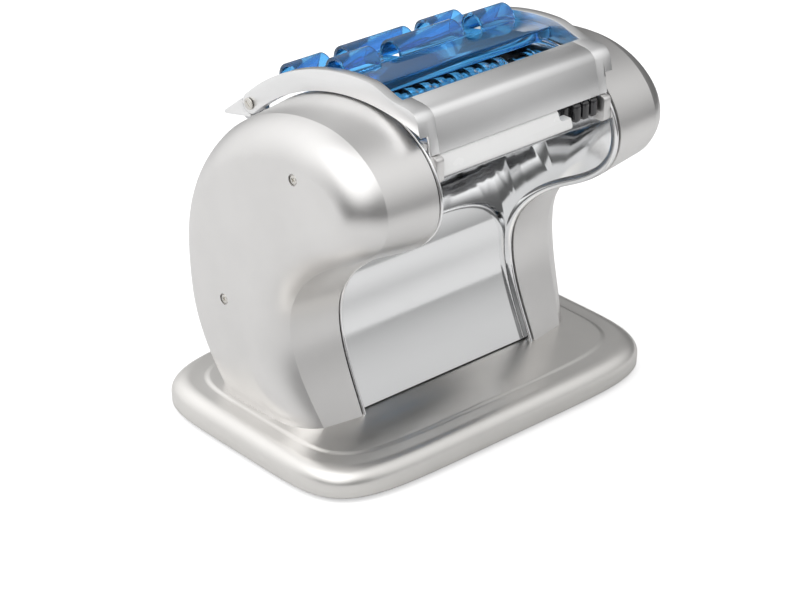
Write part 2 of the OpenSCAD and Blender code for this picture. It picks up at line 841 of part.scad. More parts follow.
// Spur gear with its middle at the origin. With phase 0 a tooth points along +X.
module gear_2d(m, teeth, phase) {
    r = m * teeth / 2;
    rb = r * cos(PRESSURE);
    r_tip = r + 0.9 * m;
    r_root = r - 1.2 * m;
    t_pitch = tan(PRESSURE) * 180 / PI;
    t_tip = sqrt(pow(r_tip / rb, 2) - 1) * 180 / PI;
    t_low = r_root > rb ? sqrt(pow(r_root / rb, 2) - 1) * 180 / PI : 0;
    half = 90 / teeth - BACKLASH / r * 90 / PI + t_pitch - PRESSURE;
    flank = [for (i = [0:4]) involute(rb, t_low + (t_tip - t_low) * i / 4)];
    root_half = min(half, 180 / teeth - 1);
    tooth = concat(
        r_root < rb ? [r_root * [cos(-root_half), sin(-root_half)]] : [],
        [for (p = flank) turned(p, -half)],
        [for (i = [4:-1:0]) turned([flank[i][0], -flank[i][1]], half)],
        r_root < rb ? [r_root * [cos(root_half), sin(root_half)]] : []
    );
    polygon([
        for (k = [0:teeth - 1]) each [for (p = tooth) turned(p, phase + 360 * k / teeth)]
    ]);
}

// Gear on the left end of a shaft, in the plane that begins at x.
module gear(at, x, m, teeth, phase) {
    across(-x - gear_w, -x) translate(at) gear_2d(m, teeth, phase);
}

// Angle in the YZ plane from one axis to another, from +Y towards +Z.
function heading(a, b) = atan2(b[1] - a[1], b[0] - a[0]);
// Phase that puts a tooth of gear b in the gap of gear a, which has a tooth at a_phase.
function meshed(a_phase, a_teeth, b_teeth, a, b) =
    let (h = heading(a, b), lead = (a_phase - h) * a_teeth / 360)
    h + 180 + 180 / b_teeth - lead * 360 / b_teeth;

module shaft(at, left, right) {
    bar_x(at, shaft_r, -left, right);
}

roller_m = roller_pitch / roller_teeth;
cutter_m = cutter_pitch / cutter_teeth;
step_m = pair_step / step_teeth;
shaft_end = plate_x + plate_t + 1;

front_phase = 0;
drive_phase = 0;
module front_roller() {
    color(CHROME) {
        bar_x(front_axis, roller_r, -roller_l / 2, roller_l / 2);
        shaft(front_axis, gear_plate_x + gear_plate_t, shaft_end);
        gear(front_axis, plane_1, roller_m, roller_teeth, front_phase);
        gear(front_axis, plane_3, drive_m, drive_teeth, drive_phase);
    }
}

module rear_roller() {
    color(CHROME) {
        bar_x(rear_axis, roller_r, -roller_l / 2, roller_l / 2);
        shaft(rear_axis, plane_1 + gear_w + 0.5, shaft_end);
        gear(rear_axis, plane_1, roller_m, roller_teeth,
            meshed(front_phase, roller_teeth, roller_teeth, front_axis, rear_axis));
    }
}

// Bearing block of the rear roller. The right one has the yoke that the knob moves.
module bearing_block() {
    translate([plate_x - 0.8, rear_axis[0] - block_y / 2, rear_axis[1] - block_z / 2])
        cube([plate_t + 1.4, block_y, block_z]);
}

module left_bearing_block() {
    color(STEEL) mirrored(-1) difference() {
        bearing_block();
        bar_x(rear_axis, shaft_r + run_gap, plate_x - 3, plate_x + plate_t + 3);
    }
}

yoke_x = plate_x + plate_t + 0.6;
yoke_t = 4;
yoke_gap = 0.6;
module right_bearing_block() {
    color(STEEL) difference() {
        union() {
            bearing_block();
            translate([yoke_x, rear_axis[0] - block_y / 2, knob_axis[1] - 8])
                cube([yoke_t, block_y, rear_axis[1] - knob_axis[1] + 8 + block_z / 2]);
        }
        bar_x(rear_axis, shaft_r + run_gap, plate_x - 3, yoke_x + yoke_t + 3);
        translate([yoke_x - 3, knob_axis[0] + eccentric - eccentric_r - yoke_gap,
            knob_axis[1] - eccentric_r - eccentric - yoke_gap])
            cube([yoke_t + 6, 2 * (eccentric_r + yoke_gap),
                2 * (eccentric_r + eccentric + yoke_gap)]);
    }
}

// Cutter with discs and grooves of one width. With shift, discs stand where grooves were.
module cutter(at, width, shift) {
    disc = width - 2 * free_gap;
    core = cutter_pitch - cutter_r - free_gap;
    count = floor(cutter_l / (2 * width));
    start = -count * width + (shift ? width : 0);
    translate([0, at[0], at[1]]) rotate([0, 90, 0]) rotate_extrude($fn = 64)
        polygon(concat(
            [[0, -cutter_l / 2], [core, -cutter_l / 2]],
            [for (i = [0:count - 1]) let (z = start + 2 * width * i + free_gap)
                if (z + disc < cutter_l / 2)
                    each [[core, z], [cutter_r, z], [cutter_r, z + disc], [core, z + disc]]],
            [[core, cutter_l / 2], [0, cutter_l / 2]]
        ));
}

wide_rear_phase = meshed(drive_phase, drive_teeth, driven_teeth, front_axis, wide_rear);
wide_rear_pair = 0;
wide_front_pair = meshed(wide_rear_pair, cutter_teeth, cutter_teeth, wide_rear, wide_front);
step_phase = 0;
fine_rear_step = meshed(step_phase, step_teeth, step_teeth, wide_front, fine_rear);
fine_front_pair = meshed(0, cutter_teeth, cutter_teeth, fine_rear, fine_front);

module fine_cutter_front() {
    color(STEEL) {
        cutter(fine_front, fine_w, false);
        shaft(fine_front, plane_1 + gear_w + 0.5, shaft_end);
        gear(fine_front, plane_1, cutter_m, cutter_teeth, fine_front_pair);
    }
}

module fine_cutter_rear() {
    color(STEEL) {
        cutter(fine_rear, fine_w, true);
        shaft(fine_rear, plane_2 + gear_w + 0.5, shaft_end);
        gear(fine_rear, plane_1, cutter_m, cutter_teeth, 0);
        gear(fine_rear, plane_2, step_m, step_teeth, fine_rear_step);
    }
}

module wide_cutter_front() {
    color(STEEL) {
        cutter(wide_front, wide_w, false);
        shaft(wide_front, plane_2 + gear_w + 0.5, shaft_end);
        gear(wide_front, plane_1, cutter_m, cutter_teeth, wide_front_pair);
        gear(wide_front, plane_2, step_m, step_teeth, step_phase);
    }
}

module wide_cutter_rear() {
    color(STEEL) {
        cutter(wide_rear, wide_w, true);
        shaft(wide_rear, plane_3 + gear_w + 0.5, shaft_end);
        gear(wide_rear, plane_1, cutter_m, cutter_teeth, wide_rear_pair);
        gear(wide_rear, plane_3, drive_m, driven_teeth, wide_rear_phase);
    }
}

idler_phase = meshed(drive_phase, drive_teeth, idler_teeth, front_axis, idler_axis);
module idler_gear() {
    color(STEEL) difference() {
        gear(idler_axis, plane_3, drive_m, idler_teeth, idler_phase);
        bar_x(idler_axis, shaft_r + run_gap, -plane_3 - gear_w - 1, -plane_3 + 1);
    }
}

module idler_stud() {
    color(STEEL) bar_x(idler_axis, shaft_r, -gear_plate_x, -plate_x - plate_t);
}

// The output shaft reaches this far into the gearbox.
motor_bore_l = 6;
module motor_gear() {
    color(STEEL) {
        gear(motor_axis, plane_3, drive_m, motor_teeth,
            meshed(idler_phase, idler_teeth, motor_teeth, idler_axis, motor_axis));
        bar_x(motor_axis, shaft_r, -gear_plate_x - gear_plate_t + 0.5, -plate_x + motor_bore_l);
    }
}

// The gearbox is wider than the motor behind it, which ends in the cap of its rear bearing.
gearbox_l = 22;
motor_step = 3;
motor_cap_r = 8;
motor_cap_l = 4;
module gear_motor() {
    color(STEEL) difference() {
        union() {
            bar_x(motor_axis, motor_r, -plate_x, -plate_x + gearbox_l);
            bar_x(motor_axis, motor_r - motor_step, -plate_x + gearbox_l, -plate_x + motor_l);
            bar_x(motor_axis, motor_cap_r, -plate_x + motor_l, -plate_x + motor_l + motor_cap_l);
        }
        bar_x(motor_axis, shaft_r + run_gap, -plate_x - 1, -plate_x + motor_bore_l + 0.4);
    }
}

module shaft_bushes() {
    color(STEEL)
        for (side = [-1, 1], a = fixed_axes)
            mirrored(side) difference() {
                bar_x(a, bush_r, plate_x - bush_flange, plate_x + plate_t + bush_flange);
                bar_x(a, shaft_r + run_gap, plate_x - 2, plate_x + plate_t + 2);
            }
}

// Black ridges between the feed slots.
module feed_guides() {
    color(BLACK) {
        across(-plate_x, plate_x) polygon([
            wide_rear + [cutter_r + 1.5, 6], wide_rear + [cutter_r + 3, 16],
            front_axis + [9, roller_r + 6], front_axis + [5, roller_r + 1]
        ]);
        across(-plate_x, plate_x) polygon([
            fine_rear + [5.5, cutter_r + 1], fine_rear + [pair_step / 2, cutter_r + 9],
            wide_front + [-5.5, cutter_r + 1], wide_front + [-8, cutter_r - 2],
            fine_rear + [8, cutter_r - 2]
        ]);
    }
}

// Blades that keep dough off the smooth rollers, and smaller ones under the cutters.
blade_gap = 0.5;
roller_blade = [5, 2];
cutter_blade = [6, 1.6];
module roller_scrapers() {
    color(CHROME)
        for (side = [-1, 1]) {
            a = side < 0 ? front_axis : rear_axis;
            across(-plate_x, plate_x) translate(a) rotate(side < 0 ? -118 : -58)
                translate([roller_r + blade_gap, -roller_blade[1] / 2]) square(roller_blade);
        }
}

module cutter_scrapers() {
    color(CHROME)
        for (a = [fine_front, fine_rear, wide_front, wide_rear]) {
            out = a == fine_rear ? -70 : a == wide_rear ? -100 : -110;
            across(-plate_x, plate_x) translate(a) rotate(out)
                translate([cutter_r + blade_gap, -cutter_blade[1] / 2]) square(cutter_blade);
        }
}

// ---- controls ------------------------------------------------------------------------

GRIPS = 18;
grip_r = 1.4;
grip_in = 2.6;
knob_x = end_x + 0.4;
module thickness_knob() {
    color(BLACK) difference() {
        translate([knob_x, knob_axis[0], knob_axis[1]]) rotate([0, 90, 0])
            rotate_extrude($fn = 64)
                polygon([
                    [0, 0], [knob_r, 0], [knob_r, 3], [knob_r - 3, 3.6],
                    [knob_r - 4.5, knob_h - 1], [knob_r - 6, knob_h], [0, knob_h]
                ]);
        for (i = [0:GRIPS - 1]) {
            a = 360 * i / GRIPS;
            bar_x(knob_axis + (knob_r - grip_in) * [cos(a), sin(a)], grip_r, knob_x + 4,
                knob_x + knob_h + 1.6);
        }
    }
}

module knob_shaft() {
    color(STEEL) {
        bar_x(knob_axis, shaft_r, yoke_x + yoke_t + 1, knob_x);
        bar_x(knob_axis + [eccentric, 0], eccentric_r, yoke_x + 0.4,
            yoke_x + yoke_t + 1);
    }
}

// Box with its middle at the switch, from x0 to x1, wider than the rocker by edge all round.
module round_rocker(edge, x0, x1) {
    translate([x0, switch_spot[0] - rocker_w / 2 - edge, switch_spot[1] - rocker_l / 2 - edge])
        cube([x1 - x0, rocker_w + 2 * edge, rocker_l + 2 * edge]);
}

bezel_edge = 3;
bezel_t = 1.6;
bezel_wall = 0.8;
bezel_x = end_x + 0.1;
bezel_l = 14.1;
well_l = 8.1;
module switch_bezel() {
    color(BLACK) difference() {
        union() {
            round_rocker(bezel_edge, bezel_x, bezel_x + bezel_t);
            round_rocker(bezel_wall, bezel_x - bezel_l, bezel_x);
        }
        round_rocker(free_gap, bezel_x - well_l, bezel_x + bezel_t + 1);
    }
}

rocker_pivot_x = end_x - 2;
rocker_barrel_r = 2.4;
module switch_rocker() {
    color("darkred") translate([0, switch_spot[0] + rocker_w / 2, switch_spot[1]])
        rotate([90, 0, 0]) {
            linear_extrude(rocker_w) polygon([
                [rocker_pivot_x - 1, -4], [end_x + 0.5, -rocker_l / 2 + 1.4],
                [end_x + 3.6, -rocker_l / 2 + 1.6], [end_x + 2, 0],
                [end_x + 3.6, rocker_l / 2 - 1.6], [end_x + 0.5, rocker_l / 2 - 1.4],
                [rocker_pivot_x - 1, 4]
            ]);
            translate([rocker_pivot_x, 0, 0])
                cylinder(r = rocker_barrel_r, h = rocker_w, $fn = 48);
        }
}

base_plate();
base_cover();
rubber_feet();
left_housing();
right_housing();
left_side_plate();
right_side_plate();
left_bead();
right_bead();
front_chute();
rear_panel();
left_cheek();
right_cheek();
deflector();
outlet_block();
left_gear_plate();
gear_plate_pillars();
housing_bosses();
housing_screws();
tie_rods();
left_hinge_bracket();
right_hinge_bracket();
left_tail();
right_tail();
hinge_pins();
shaft_bushes();
feed_guides();
roller_scrapers();
cutter_scrapers();
idler_stud();
gear_motor();
cord_inlet();
switch_bezel();
left_arm();
right_arm();
front_bar();
finger_guard();
front_roller();
rear_roller();
left_bearing_block();
right_bearing_block();
fine_cutter_front();
fine_cutter_rear();
wide_cutter_front();
wide_cutter_rear();
idler_gear();
motor_gear();
thickness_knob();
knob_shaft();
switch_rocker();
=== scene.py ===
"""Electric pasta maker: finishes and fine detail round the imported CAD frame, in metres.

The CAD frame gives every place and size. Pieces made here are either softened copies of CAD
nodes, with broken edges and smooth normals, or new parts such as the smooth housings.
"""

import json
import logging
import math
from dataclasses import dataclass, field
from enum import Enum
from typing import Callable, Sequence

import bpy
from mathutils import Euler, Matrix, Vector

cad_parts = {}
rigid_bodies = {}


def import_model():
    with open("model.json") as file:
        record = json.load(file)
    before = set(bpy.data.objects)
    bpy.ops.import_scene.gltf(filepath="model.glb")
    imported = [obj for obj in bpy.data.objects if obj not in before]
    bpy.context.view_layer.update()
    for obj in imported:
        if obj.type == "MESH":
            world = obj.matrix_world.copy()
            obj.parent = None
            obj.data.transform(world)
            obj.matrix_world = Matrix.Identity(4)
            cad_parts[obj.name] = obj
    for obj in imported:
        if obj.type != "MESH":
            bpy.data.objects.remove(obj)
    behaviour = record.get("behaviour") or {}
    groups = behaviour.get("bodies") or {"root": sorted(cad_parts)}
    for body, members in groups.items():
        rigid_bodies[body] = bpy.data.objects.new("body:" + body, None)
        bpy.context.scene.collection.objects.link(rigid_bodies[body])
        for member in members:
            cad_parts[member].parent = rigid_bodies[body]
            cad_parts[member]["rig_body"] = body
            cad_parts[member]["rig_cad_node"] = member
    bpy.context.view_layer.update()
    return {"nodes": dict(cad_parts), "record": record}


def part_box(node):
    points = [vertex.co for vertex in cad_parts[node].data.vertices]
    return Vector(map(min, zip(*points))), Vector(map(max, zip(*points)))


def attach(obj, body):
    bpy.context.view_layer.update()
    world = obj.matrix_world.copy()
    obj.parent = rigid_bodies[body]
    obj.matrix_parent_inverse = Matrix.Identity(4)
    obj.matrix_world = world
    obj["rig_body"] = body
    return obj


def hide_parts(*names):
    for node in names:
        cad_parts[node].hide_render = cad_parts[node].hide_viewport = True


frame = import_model()

log = logging.getLogger("pasta_maker")
MM = 0.001
FEW_SIDES = 24


class Side(Enum):
    """The two ends of the machine, as signs along X."""

    LEFT = -1
    RIGHT = 1

    def node(self, name: str) -> str:
        """Returns the name of the CAD node of this side."""
        return f"{self.name.lower()}_{name}"


# ---- finishes ---------------------------------------------------------------------------


class Graph:
    """A small helper that adds and links shader nodes of one material."""

    ramp_span = (0.35, 0.65)
    noise_span = (0.3, 0.7)

    def __init__(self, name: str) -> None:
        """Starts a material with a Principled shader.

        Args:
            name: Name of the material.
        """
        self.material = bpy.data.materials.new(name)
        self.material.use_nodes = True
        self.tree = self.material.node_tree
        self.shader = self.tree.nodes["Principled BSDF"]
        self.place = self.add("ShaderNodeTexCoord").outputs["Object"]

    @staticmethod
    def put(node: bpy.types.Node, **values: object) -> bpy.types.Node:
        """Sets a node's properties or its unlinked inputs.

        Args:
            node: The node.
            **values: Properties, or inputs whose name has _ for a blank.

        Returns:
            The node.
        """
        for key, value in values.items():
            if hasattr(node, key):
                setattr(node, key, value)
            else:
                node.inputs[key.replace("_", " ")].default_value = value
        return node

    def add(self, kind: str, **values: object) -> bpy.types.Node:
        """Adds a node of Blender's kind, sets its values and returns it."""
        return self.put(self.tree.nodes.new(kind), **values)

    def link(self, source: bpy.types.NodeSocket, target: bpy.types.NodeSocket) -> None:
        """Links an output socket to an input socket."""
        self.tree.links.new(source, target)

    def noise(self, scale: float, detail: float = 2.0,
              stretch: Sequence[float] = (1, 1, 1)) -> bpy.types.NodeSocket:
        """Adds a noise texture.

        Args:
            scale: Noise scale per metre.
            detail: Octaves of detail.
            stretch: Scale of each axis before the noise.

        Returns:
            The factor of the noise.
        """
        node = self.add("ShaderNodeTexNoise", Scale=scale, Detail=detail)
        mapping = self.add("ShaderNodeMapping", Scale=stretch)
        self.link(self.place, mapping.inputs["Vector"])
        self.link(mapping.outputs["Vector"], node.inputs["Vector"])
        return node.outputs["Fac"]

    def tint(self, factor: bpy.types.NodeSocket, colour: Sequence[float], low: float,
             high: float = 1.0) -> None:
        """Gives the shader a colour that a factor makes darker and lighter.

        Args:
            factor: The factor.
            colour: The colour.
            low: What multiplies it where the factor is low.
            high: What multiplies it where the factor is high.
        """
        node = self.add("ShaderNodeValToRGB")
        for element, place, share in zip(node.color_ramp.elements, self.ramp_span, (low, high)):
            element.position = place
            element.color = (*(min(1.0, c * share) for c in colour), 1)
        self.link(factor, node.inputs["Fac"])
        self.link(node.outputs["Color"], self.shader.inputs["Base Color"])

    def roughen(self, factor: bpy.types.NodeSocket, low: float, high: float) -> None:
        """Gives the shader a roughness that follows a factor.

        Args:
            factor: The factor.
            low: Roughness where it is low.
            high: Roughness where it is high.
        """
        start, stop = self.noise_span
        node = self.add("ShaderNodeMapRange", From_Min=start, From_Max=stop, To_Min=low,
                        To_Max=high)
        self.link(factor, node.inputs["Value"])
        self.link(node.outputs["Result"], self.shader.inputs["Roughness"])

    def bump(self, height: bpy.types.NodeSocket, strength: float, distance: float) -> None:
        """Gives the shader a bump.

        Args:
            height: The height that it follows.
            strength: Its strength, from 0 to 1.
            distance: Its depth in metres.
        """
        node = self.add("ShaderNodeBump", Strength=strength, Distance=distance)
        self.link(height, node.inputs["Height"])
        self.link(node.outputs["Normal"], self.shader.inputs["Normal"])


@dataclass(frozen=True)
class SatinMetal:
    """Bead-blasted, satin-plated metal with a fine grain and faint cloudiness."""

    name: str
    colour: tuple[float, float, float]
    roughness: float = 0.33
    smoother: float = 0.03
    rougher: float = 0.04
    grain: float = 1500.0
    grain_depth: float = 0.00006
    grain_strength: float = 0.35
    cloud: float = 0.04
    cloud_scale: float = 22.0
    cloud_detail: float = 3.0

    def build(self) -> bpy.types.Material:
        """Builds the finish.

        Returns:
            The material.
        """
        g = Graph(self.name)
        g.put(g.shader, Metallic=1.0)
        clouds = g.noise(self.cloud_scale, self.cloud_detail)
        g.tint(clouds, self.colour, 1 - self.cloud / 2, 1 + self.cloud / 2)
        fine = g.noise(self.grain)
        g.roughen(fine, self.roughness - self.smoother, self.roughness + self.rougher)
        g.bump(fine, self.grain_strength, self.grain_depth)
        return g.material


@dataclass(frozen=True)
class PolishedMetal:
    """Mirror-polished metal with faint wiping marks."""

    name: str
    colour: tuple[float, float, float]
    roughness: float = 0.10
    smoother: float = 0.7
    rougher: float = 1.5
    smear: float = 60.0
    smear_detail: float = 4.0
    smear_stretch: tuple[float, float, float] = (0.3, 1.0, 1.0)
    smear_shade: float = 0.98

    def build(self) -> bpy.types.Material:
        """Builds the finish.

        Returns:
            The material.
        """
        g = Graph(self.name)
        g.put(g.shader, Metallic=1.0)
        smear = g.noise(self.smear, self.smear_detail, self.smear_stretch)
        g.tint(smear, self.colour, self.smear_shade)
        g.roughen(smear, self.roughness * self.smoother, self.roughness * self.rougher)
        return g.material


@dataclass(frozen=True)
class TurnedSteel:
    """Machined steel whose fine marks run round the X axis."""

    name: str
    colour: tuple[float, float, float]
    roughness: float = 0.25
    smoother: float = 0.06
    rougher: float = 0.08
    marks: float = 3500.0
    stretch: tuple[float, float, float] = (1.0, 0.04, 0.04)
    dark: float = 0.9
    light: float = 1.04
    depth: float = 0.00003
    strength: float = 0.25

    def build(self) -> bpy.types.Material:
        """Builds the finish.

        Returns:
            The material.
        """
        g = Graph(self.name)
        g.put(g.shader, Metallic=1.0)
        marks = g.noise(self.marks, stretch=self.stretch)
        g.tint(marks, self.colour, self.dark, self.light)
        g.roughen(marks, self.roughness - self.smoother, self.roughness + self.rougher)
        g.bump(marks, self.strength, self.depth)
        return g.material


@dataclass(frozen=True)
class MouldedPlastic:
    """Moulded plastic, rubber or paint, with a fine texture where it has a depth."""

    name: str
    colour: tuple[float, float, float]
    roughness: float
    smoother: float = 0.04
    rougher: float = 0.05
    texture: float = 1800.0
    detail: float = 3.0
    depth: float = 0.00006
    strength: float = 0.3
    coat: float = 0.0
    coat_roughness: float = 0.08
    mottle: float = 0.14

    def build(self) -> bpy.types.Material:
        """Builds the finish.

        Returns:
            The material.
        """
        g = Graph(self.name)
        g.put(g.shader, Coat_Weight=self.coat, Coat_Roughness=self.coat_roughness)
        fine = g.noise(self.texture, self.detail)
        g.tint(fine, self.colour, 1 - self.mottle / 2, 1 + self.mottle / 2)
        g.roughen(fine, self.roughness - self.smoother, self.roughness + self.rougher)
        if self.depth > 0:
            g.bump(fine, self.strength, self.depth)
        return g.material


@dataclass(frozen=True)
class ClearPlastic:
    """Transparent tinted plastic with a glossy surface and slight moulding flow."""

    name: str
    colour: tuple[float, float, float]
    roughness: float = 0.03
    rougher: float = 0.03
    transmission: float = 0.9
    ior: float = 1.46
    coat: float = 0.5
    coat_roughness: float = 0.02
    flow: float = 30.0
    flow_stretch: tuple[float, float, float] = (0.4, 1.0, 1.0)
    flow_shade: float = 0.92

    def build(self) -> bpy.types.Material:
        """Builds the finish.

        Returns:
            The material.
        """
        g = Graph(self.name)
        g.put(g.shader, Transmission_Weight=self.transmission, IOR=self.ior,
              Coat_Weight=self.coat, Coat_Roughness=self.coat_roughness)
        flow = g.noise(self.flow, stretch=self.flow_stretch)
        g.tint(flow, self.colour, self.flow_shade)
        g.roughen(flow, self.roughness, self.roughness + self.rougher)
        return g.material


class Finishes:
    """All the finishes of the machine, built once."""

    def __init__(self) -> None:
        """Builds every material."""
        self.silver = SatinMetal("satin_silver", (0.79, 0.78, 0.77)).build()
        self.bright = SatinMetal("bright_satin", (0.92, 0.92, 0.92)).build()
        self.base = SatinMetal("satin_base", (0.80, 0.785, 0.76), 0.32).build()
        self.mirror = PolishedMetal("mirror_chrome", (0.90, 0.905, 0.91)).build()
        self.bead = PolishedMetal("bead_chrome", (0.93, 0.93, 0.935), 0.12).build()
        self.steel = TurnedSteel("turned_steel", (0.62, 0.625, 0.64)).build()
        self.rollers = TurnedSteel("roller_steel", (0.76, 0.765, 0.78), 0.2).build()
        self.screw = TurnedSteel("screw_steel", (0.72, 0.70, 0.66), 0.2).build()
        # white_gloss also dresses the outlet bar, where its white is a painted highlight of a
        # chrome plate
        self.white = MouldedPlastic("white_gloss", (0.95, 0.95, 0.945), 0.24, texture=60.0,
                                    depth=0.0, coat=0.5, mottle=0.01).build()
        self.paint = MouldedPlastic("white_paint", (0.8, 0.8, 0.8), 0.4, texture=900.0,
                                    depth=0.00001).build()
        self.black = MouldedPlastic("black_plastic", (0.022, 0.022, 0.024), 0.38).build()
        self.black_gloss = MouldedPlastic("black_gloss", (0.016, 0.016, 0.018), 0.14,
                                          texture=900.0, depth=0.00001, coat=0.8).build()
        self.rubber = MouldedPlastic("rubber", (0.02, 0.02, 0.02), 0.7, texture=1200.0,
                                     depth=0.0001).build()
        self.red = MouldedPlastic("red_plastic", (0.5, 0.012, 0.012), 0.2, texture=900.0,
                                  depth=0.00001, coat=0.5).build()
        self.blue = ClearPlastic("blue_clear", (0.10, 0.46, 0.90)).build()


# ---- modelling tools --------------------------------------------------------------------


class Bench:
    """Blender's operators, called the way they are used by hand."""

    @staticmethod
    def only(*objects: bpy.types.Object) -> None:
        """Selects these objects alone and makes the first one active.

        Args:
            *objects: The objects.
        """
        bpy.ops.object.select_all(action="DESELECT")
        for obj in objects:
            obj.select_set(True)
        bpy.context.view_layer.objects.active = objects[0]

    @staticmethod
    def edit(obj: bpy.types.Object, *steps: Callable[[], object]) -> None:
        """Runs steps in edit mode with all of the mesh selected.

        Args:
            obj: The piece.
            *steps: Calls that use mesh operators.
        """
        Bench.only(obj)
        bpy.ops.object.mode_set(mode="EDIT")
        Bench.select("SELECT")
        for step in steps:
            step()
        bpy.ops.object.mode_set(mode="OBJECT")

    @staticmethod
    def select(action: str) -> None:
        """Selects or deselects all of the mesh, as Blender's action says."""
        bpy.ops.mesh.select_all(action=action)

    @staticmethod
    def merge(distance: float = 1e-6) -> None:
        """Merges doubled vertices of what is selected."""
        bpy.ops.mesh.remove_doubles(threshold=distance)

    @staticmethod
    def outwards() -> None:
        """Turns the selected faces outwards."""
        bpy.ops.mesh.normals_make_consistent(inside=False)

    @staticmethod
    def modify(obj: bpy.types.Object, kind: str, **values: object) -> None:
        """Adds a modifier and applies it.

        Args:
            obj: The piece.
            kind: Blender's modifier type.
            **values: The modifier's settings.
        """
        Bench.only(obj)
        modifier = obj.modifiers.new(kind.title(), kind)
        for key, value in values.items():
            setattr(modifier, key, value)
        bpy.ops.object.modifier_apply(modifier=modifier.name)

    @staticmethod
    def bevel(obj: bpy.types.Object, width: float, segments: int = 3, **limit: object) -> None:
        """Rounds the sharp edges of a piece, above Blender's angle or the one in limit."""
        Bench.modify(obj, "BEVEL", width=width, segments=segments, limit_method="ANGLE", **limit)

    @staticmethod
    def smooth(obj: bpy.types.Object, degrees: float = 35.0) -> None:
        """Smooths the shading where faces meet at less than an angle."""
        Bench.only(obj)
        bpy.ops.object.shade_smooth_by_angle(angle=math.radians(degrees))

    @staticmethod
    def settle(obj: bpy.types.Object) -> None:
        """Applies the object's place, turn and scale to its mesh."""
        Bench.only(obj)
        bpy.ops.object.transform_apply(location=True, rotation=True, scale=True)

    @staticmethod
    def cut(obj: bpy.types.Object, tool: bpy.types.Object) -> None:
        """Cuts the tool's shape out of a piece and removes the tool.

        A cut that loses half of the faces is taken back.

        Args:
            obj: The piece.
            tool: What is cut out of it.
        """
        before = obj.data.copy()
        Bench.modify(obj, "BOOLEAN", operation="DIFFERENCE", solver="EXACT", object=tool)
        if len(obj.data.polygons) < len(before.polygons) / 2:
            obj.data = before
            log.warning("cut %s in %s taken back", tool.name, obj.name)
        bpy.data.objects.remove(tool)

    @staticmethod
    def added(name: str, operator: Callable[..., object], **values: object) -> bpy.types.Object:
        """Adds an object with one of Blender's operators.

        Args:
            name: Name of the object.
            operator: The operator.
            **values: Its settings.

        Returns:
            The object.
        """
        bpy.ops.object.select_all(action="DESELECT")
        operator(**values)
        obj = bpy.context.active_object
        obj.name = name
        return obj

    @staticmethod
    def rod(name: str, centre: Sequence[float], radius: float, length: float,
            sides: int = 48) -> bpy.types.Object:
        """Adds a cylinder along X.

        Args:
            name: Name of the piece.
            centre: Its middle, in metres.
            radius: Its radius.
            length: Its length.
            sides: Number of its sides.

        Returns:
            The cylinder.
        """
        obj = Bench.added(name, bpy.ops.mesh.primitive_cylinder_add, vertices=sides,
                          radius=radius, depth=length, location=centre,
                          rotation=(0, math.pi / 2, 0))
        Bench.settle(obj)
        return obj

    @staticmethod
    def block(name: str, centre: Sequence[float], size: Sequence[float]) -> bpy.types.Object:
        """Adds a box.

        Args:
            name: Name of the piece.
            centre: Its middle, in metres.
            size: Its size along each axis.

        Returns:
            The box.
        """
        obj = Bench.added(name, bpy.ops.mesh.primitive_cube_add, size=1.0, location=centre)
        obj.scale = size
        Bench.settle(obj)
        return obj

    @staticmethod
    def wedge(name: str, tip: Vector, width: float, thickness: float) -> bpy.types.Object:
        """Adds a small raised triangle that faces +X and points down.

        Args:
            name: Name of the piece.
            tip: Its lower corner.
            width: Its width.
            thickness: Its thickness along X.

        Returns:
            The triangle.
        """
        obj = Bench.added(name, bpy.ops.mesh.primitive_cylinder_add, vertices=3,
                          radius=width / 2, depth=thickness)
        obj.rotation_euler = (0, math.pi / 2, 0)
        obj.location = (tip.x, tip.y, tip.z + width / 4)
        Bench.settle(obj)
        Bench.bevel(obj, thickness / 4, 2)
        return obj

    @staticmethod
    def turn(obj: bpy.types.Object, degrees: float, about: Sequence[float],
             axis: str = "X") -> None:
        """Turns a piece about an axis through a point.

        Args:
            obj: The piece.
            degrees: How far.
            about: A point of the axis.
            axis: X, Y or Z.
        """
        centre = Vector(about)
        obj.matrix_world = (Matrix.Translation(centre)
                            @ Matrix.Rotation(math.radians(degrees), 4, axis)
                            @ Matrix.Translation(-centre) @ obj.matrix_world)
        Bench.settle(obj)

    @staticmethod
    def copy_of(node: str, name: str, flat_deg: float = 0.4) -> bpy.types.Object:
        """Makes a free copy of a CAD node with its triangles merged into faces.

        Args:
            node: Name of the node.
            name: Name of the copy.
            flat_deg: Angle up to which triangles make one face.

        Returns:
            The copy.
        """
        Bench.only(frame["nodes"][node])
        bpy.ops.object.duplicate()
        obj = bpy.context.active_object
        obj.name = name
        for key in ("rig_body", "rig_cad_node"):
            if key in obj:
                del obj[key]
        obj.parent = None
        bpy.ops.mesh.customdata_custom_splitnormals_clear()
        Bench.edit(obj, Bench.merge,
                   lambda: bpy.ops.mesh.dissolve_limited(angle_limit=math.radians(flat_deg)))
        return obj

    @staticmethod
    def close(obj: bpy.types.Object, wanted: Callable[[bpy.types.MeshVertex], bool]) -> None:
        """Closes the open edge loop whose vertices pass a test.

        Args:
            obj: The piece.
            wanted: The test.
        """
        Bench.only(obj)
        bpy.ops.object.mode_set(mode="EDIT")
        bpy.ops.mesh.select_mode(type="EDGE")
        Bench.select("DESELECT")
        bpy.ops.mesh.select_non_manifold(extend=False)
        bpy.ops.object.mode_set(mode="OBJECT")
        for edge in obj.data.edges:
            if edge.select and not all(wanted(obj.data.vertices[v]) for v in edge.vertices):
                edge.select = False
        bpy.ops.object.mode_set(mode="EDIT")
        bpy.ops.mesh.edge_face_add()
        bpy.ops.mesh.select_mode(type="VERT")
        Bench.select("SELECT")
        Bench.outwards()
        bpy.ops.object.mode_set(mode="OBJECT")

